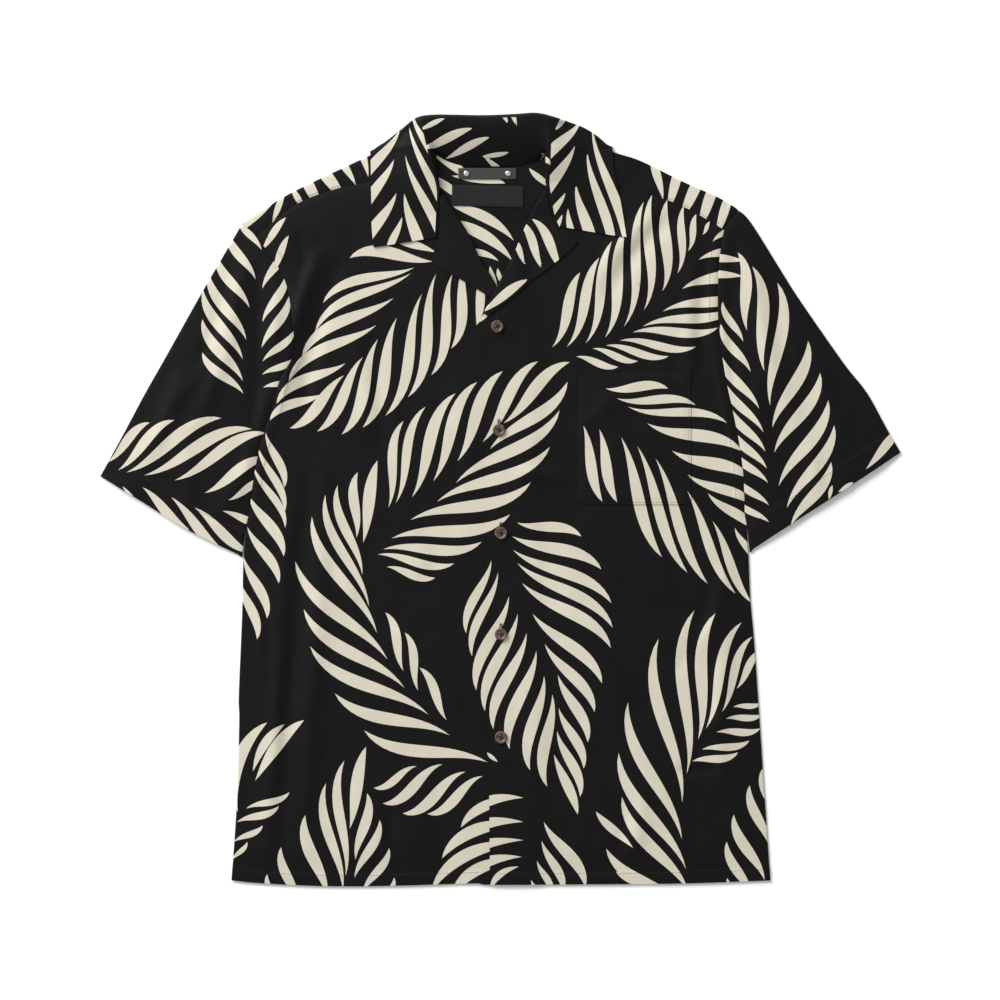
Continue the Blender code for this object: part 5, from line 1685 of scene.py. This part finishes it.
class SHIRT_OT_buttons(bpy.types.Operator):
    """Turn one four-hole button, copy it down the front, and sew each on with crossed thread"""
    bl_idname = "shirt.buttons"
    bl_label = "Buttons"

    def execute(self, context):
        sizes = context.scene.shirt_buttons
        pattern = self.turn_button(sizes)
        threads = []
        for number in range(1, len(BUTTON_CENTRES) + 1):
            low, high = (Vector(corner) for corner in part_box(f"button_{number}"))
            centre = ((low + high) / 2).to_2d()
            turn = BUTTON_TURN * number * (-1) ** number
            piece = add_piece("button", pattern.data.copy())
            piece.location = (*centre, low.z)
            piece.rotation_euler.z = turn
            settle(piece, f"button_{number}_shell", "nut_shell", f"button_{number}")
            threads += self.cross_threads((*centre, low.z), turn, sizes.spacing)
        bpy.data.objects.remove(pattern)
        sew("button_threads", threads)
        return {"FINISHED"}

    def turn_button(self, sizes):
        """A disc with a rounded rim, a groove and a dished middle, drilled four times."""
        piece = add_cylinder(sizes.sides, sizes.diameter / 2, BUTTON_THICKNESS,
                             (0, 0, BUTTON_THICKNESS / 2))
        for inward, move in BUTTON_FACE:
            select_top(piece, Vector((0, 0)))
            bpy.ops.mesh.inset(thickness=inward * MM)
            bpy.ops.transform.translate(value=(0, 0, move * MM))
        select_faces(piece, lambda centre, normal: normal.z < -0.9)
        bpy.ops.mesh.inset(thickness=BUTTON_FOOT)
        bpy.ops.object.mode_set(mode="OBJECT")
        rounding = piece.modifiers.new("rounding", "BEVEL")
        rounding.width = BUTTON_ROUNDING
        rounding.segments = 3
        rounding.limit_method = "ANGLE"
        rounding.angle_limit = math.radians(25)
        bpy.ops.object.modifier_apply(modifier="rounding")
        reach = sizes.spacing / 2
        for x, y in ((-reach, -reach), (reach, -reach), (reach, reach), (-reach, reach)):
            drill = add_cylinder(16, sizes.hole / 2, 8 * MM, (x, y, 1 * MM))
            activate(piece)
            cut = piece.modifiers.new("hole", "BOOLEAN")
            cut.operation = "DIFFERENCE"
            cut.object = drill
            bpy.ops.object.modifier_apply(modifier="hole")
            bpy.data.objects.remove(drill)
        return piece

    def cross_threads(self, centre, turn, spacing):
        """Two crossed pairs of thread, which dip into the holes, in mm from the shirt's drawing."""
        middle = np.array(centre) / MM + BOX_CENTRE
        along = np.array([math.cos(turn), math.sin(turn), 0])
        across = np.array([-along[1], along[0], 0])
        reach = spacing / MM / 2
        parts = []
        for hand, high in zip((1, -1), CROSS_HEIGHTS):
            way = (along + hand * across) * reach
            aside = (across - hand * along) * CROSS_HALF_GAP
            half = [*CROSS_RISE, (0.4, high - 0.1)]
            path = [(-part, tall) for part, tall in half] + [(0, high)] + half[::-1]
            for shift in (-1, 1):
                parts.append(strand([middle + way * part + aside * shift + (0, 0, tall)
                                     for part, tall in path], THREAD_RADIUS))
        return parts


class SHIRT_OT_label(bpy.types.Operator):
    """Sew the bare woven label inside the yoke, with its four corner tacks"""
    bl_idname = "shirt.label"
    bl_label = "Neck label"

    def execute(self, context):
        piece = make_strip("label", LABEL_THICKNESS, *LABEL_SIZE, LABEL_TILT, LABEL_CURL)
        settle(piece, "label_ribbon", "satin_ribbon", "label")
        declare(piece, 0.076, 0.023, "laid", ["yoke_cloth"])
        low, high = (np.array(corner) / MM + BOX_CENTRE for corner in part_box("label"))
        top = low[2] + 0.75
        parts = []
        in_x, in_y = LABEL_TACK_IN
        for x, lean in ((low[0] + in_x, 1), (high[0] - in_x, -1)):
            for y in (low[1] + in_y, high[1] - in_y):
                parts += [bar((x + aside, y - 1.4, top), (x + aside + 0.2 * lean, y + 1.4, top),
                              0.2) for aside in (-0.5, 0, 0.5)]
        sew("label_tacks", parts)
        return {"FINISHED"}


class SHIRT_OT_tab(bpy.types.Operator):
    """Fix the bare tab above the label with two domed rivets"""
    bl_idname = "shirt.tab"
    bl_label = "Tab and rivets"

    def execute(self, context):
        piece = make_strip("tab", TAB_THICKNESS, *TAB_SIZE, 0.0, 0.0)
        settle(piece, "tab_strip", "pebbled_strip", "tab")
        declare(piece, 0.062, 0.012, "laid", ["yoke_cloth"])
        for node in ("rivet_right", "rivet_left"):
            low, high = (Vector(corner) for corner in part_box(node))
            middle = (low + high) / 2
            rivet = add_cylinder(32, RIVET_RADIUS, 0.5 * MM, (*middle.xy, low.z - 0.05 * MM))
            radius, height = RIVET_RADIUS, 0.0
            for turn in map(math.radians, (18, 36, 54, 72)):
                select_top(rivet, middle.xy)
                bpy.ops.mesh.inset(thickness=radius - RIVET_RADIUS * math.cos(turn))
                bpy.ops.transform.translate(value=(0, 0, RIVET_HEIGHT * math.sin(turn) - height))
                radius, height = RIVET_RADIUS * math.cos(turn), RIVET_HEIGHT * math.sin(turn)
            settle(rivet, node + "_dome", "polished_dome", node)
        return {"FINISHED"}


def make_strip(node, thickness, width, depth, tilt, curl):
    """A thin strip with softened edges, lying where its solid does."""
    low, high = (Vector(corner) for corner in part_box(node))
    middle = (low + high) / 2
    bpy.ops.object.select_all(action="DESELECT")
    bpy.ops.mesh.primitive_grid_add(x_subdivisions=24, y_subdivisions=6, size=1.0,
                                    location=(*middle.xy, low.z + thickness / 2),
                                    rotation=(0, 0, tilt))
    piece = bpy.context.object
    piece.scale = (width, depth, 1.0)
    bpy.ops.object.transform_apply(location=False, rotation=False, scale=True)
    if curl:
        for corner in piece.data.vertices:
            corner.co.z += curl * (math.sin(corner.co.x / width * 7.0) * 0.3
                                   + (2 * abs(corner.co.x) / width) ** 6 * 0.6)
    thicken = piece.modifiers.new("wall", "SOLIDIFY")
    thicken.thickness = thickness
    thicken.offset = 0
    soften = piece.modifiers.new("edge", "BEVEL")
    soften.width = thickness * 0.3
    soften.segments = 2
    soften.limit_method = "ANGLE"
    for name in ("wall", "edge"):
        bpy.ops.object.modifier_apply(modifier=name)
    return piece


class SHIRT_OT_stage(bpy.types.Operator):
    """Set the pale floor, the soft light and the camera that looks straight down"""
    bl_idname = "shirt.stage"
    bl_label = "Stage"

    def execute(self, context):
        sizes = context.scene.shirt_stage
        bpy.ops.object.select_all(action="DESELECT")
        bpy.ops.mesh.primitive_plane_add(size=FLOOR_WIDTH, location=(0, 0, 0))
        floor = context.object
        floor.name = floor.data.name = "floor"
        floor.data.materials.append(bpy.data.materials["floor"])
        world = bpy.data.worlds.new("soft_room")
        world.use_nodes = True
        background = world.node_tree.nodes["Background"]
        background.inputs["Color"].default_value = (1.0, 1.0, 1.0, 1)
        background.inputs["Strength"].default_value = sizes.sky
        context.scene.world = world
        bpy.ops.object.light_add(type="AREA", location=LAMP_PLACE)
        lamp = context.object
        lamp.name = "soft_lamp"
        lamp.data.shape = "RECTANGLE"
        lamp.data.size, lamp.data.size_y = LAMP_SIZE
        lamp.data.energy = sizes.lamp
        lamp.rotation_euler = (-lamp.location).to_track_quat("-Z", "Y").to_euler()
        camera = bpy.data.objects.new("camera", bpy.data.cameras.new("camera"))
        context.scene.collection.objects.link(camera)
        camera.location = (-0.0005, 0.0, sizes.camera_height)
        camera.data.lens = 100
        camera.data.sensor_width = 36
        context.scene.camera = camera
        context.scene.view_settings.view_transform = "Standard"
        return {"FINISHED"}


OPERATORS = (SHIRT_OT_finishes, SHIRT_OT_stage, SHIRT_OT_back, SHIRT_OT_yoke, SHIRT_OT_fronts,
             SHIRT_OT_sleeves, SHIRT_OT_collar, SHIRT_OT_lapels, SHIRT_OT_pocket,
             SHIRT_OT_stitching, SHIRT_OT_buttonholes, SHIRT_OT_buttons, SHIRT_OT_label,
             SHIRT_OT_tab)
GROUPS = {"shirt_cloth": ShirtCloth, "shirt_colours": ShirtColours, "shirt_buttons": ShirtButtons,
          "shirt_stage": ShirtStage}


class SHIRT_PT_panel(bpy.types.Panel):
    """Sizes and colours of the shirt, and the steps that make it"""
    bl_idname = "SHIRT_PT_panel"
    bl_label = "Palm-leaf shirt"
    bl_space_type = "VIEW_3D"
    bl_region_type = "UI"
    bl_category = "Shirt"

    def draw(self, context):
        for name, group in GROUPS.items():
            box = self.layout.box()
            for size in group.__annotations__:
                box.prop(getattr(context.scene, name), size)
        for operator in OPERATORS:
            self.layout.operator(operator.bl_idname)


CLASSES = (*GROUPS.values(), *OPERATORS, SHIRT_PT_panel)


def register():
    for each in CLASSES:
        bpy.utils.register_class(each)
    for name, group in GROUPS.items():
        setattr(bpy.types.Scene, name, PointerProperty(type=group))


def unregister():
    for name in GROUPS:
        delattr(bpy.types.Scene, name)
    for each in reversed(CLASSES):
        bpy.utils.unregister_class(each)


def main():
    register()
    for operator in OPERATORS:
        getattr(bpy.ops.shirt, operator.bl_idname.split(".")[1])()


if __name__ == "__main__":
    main()
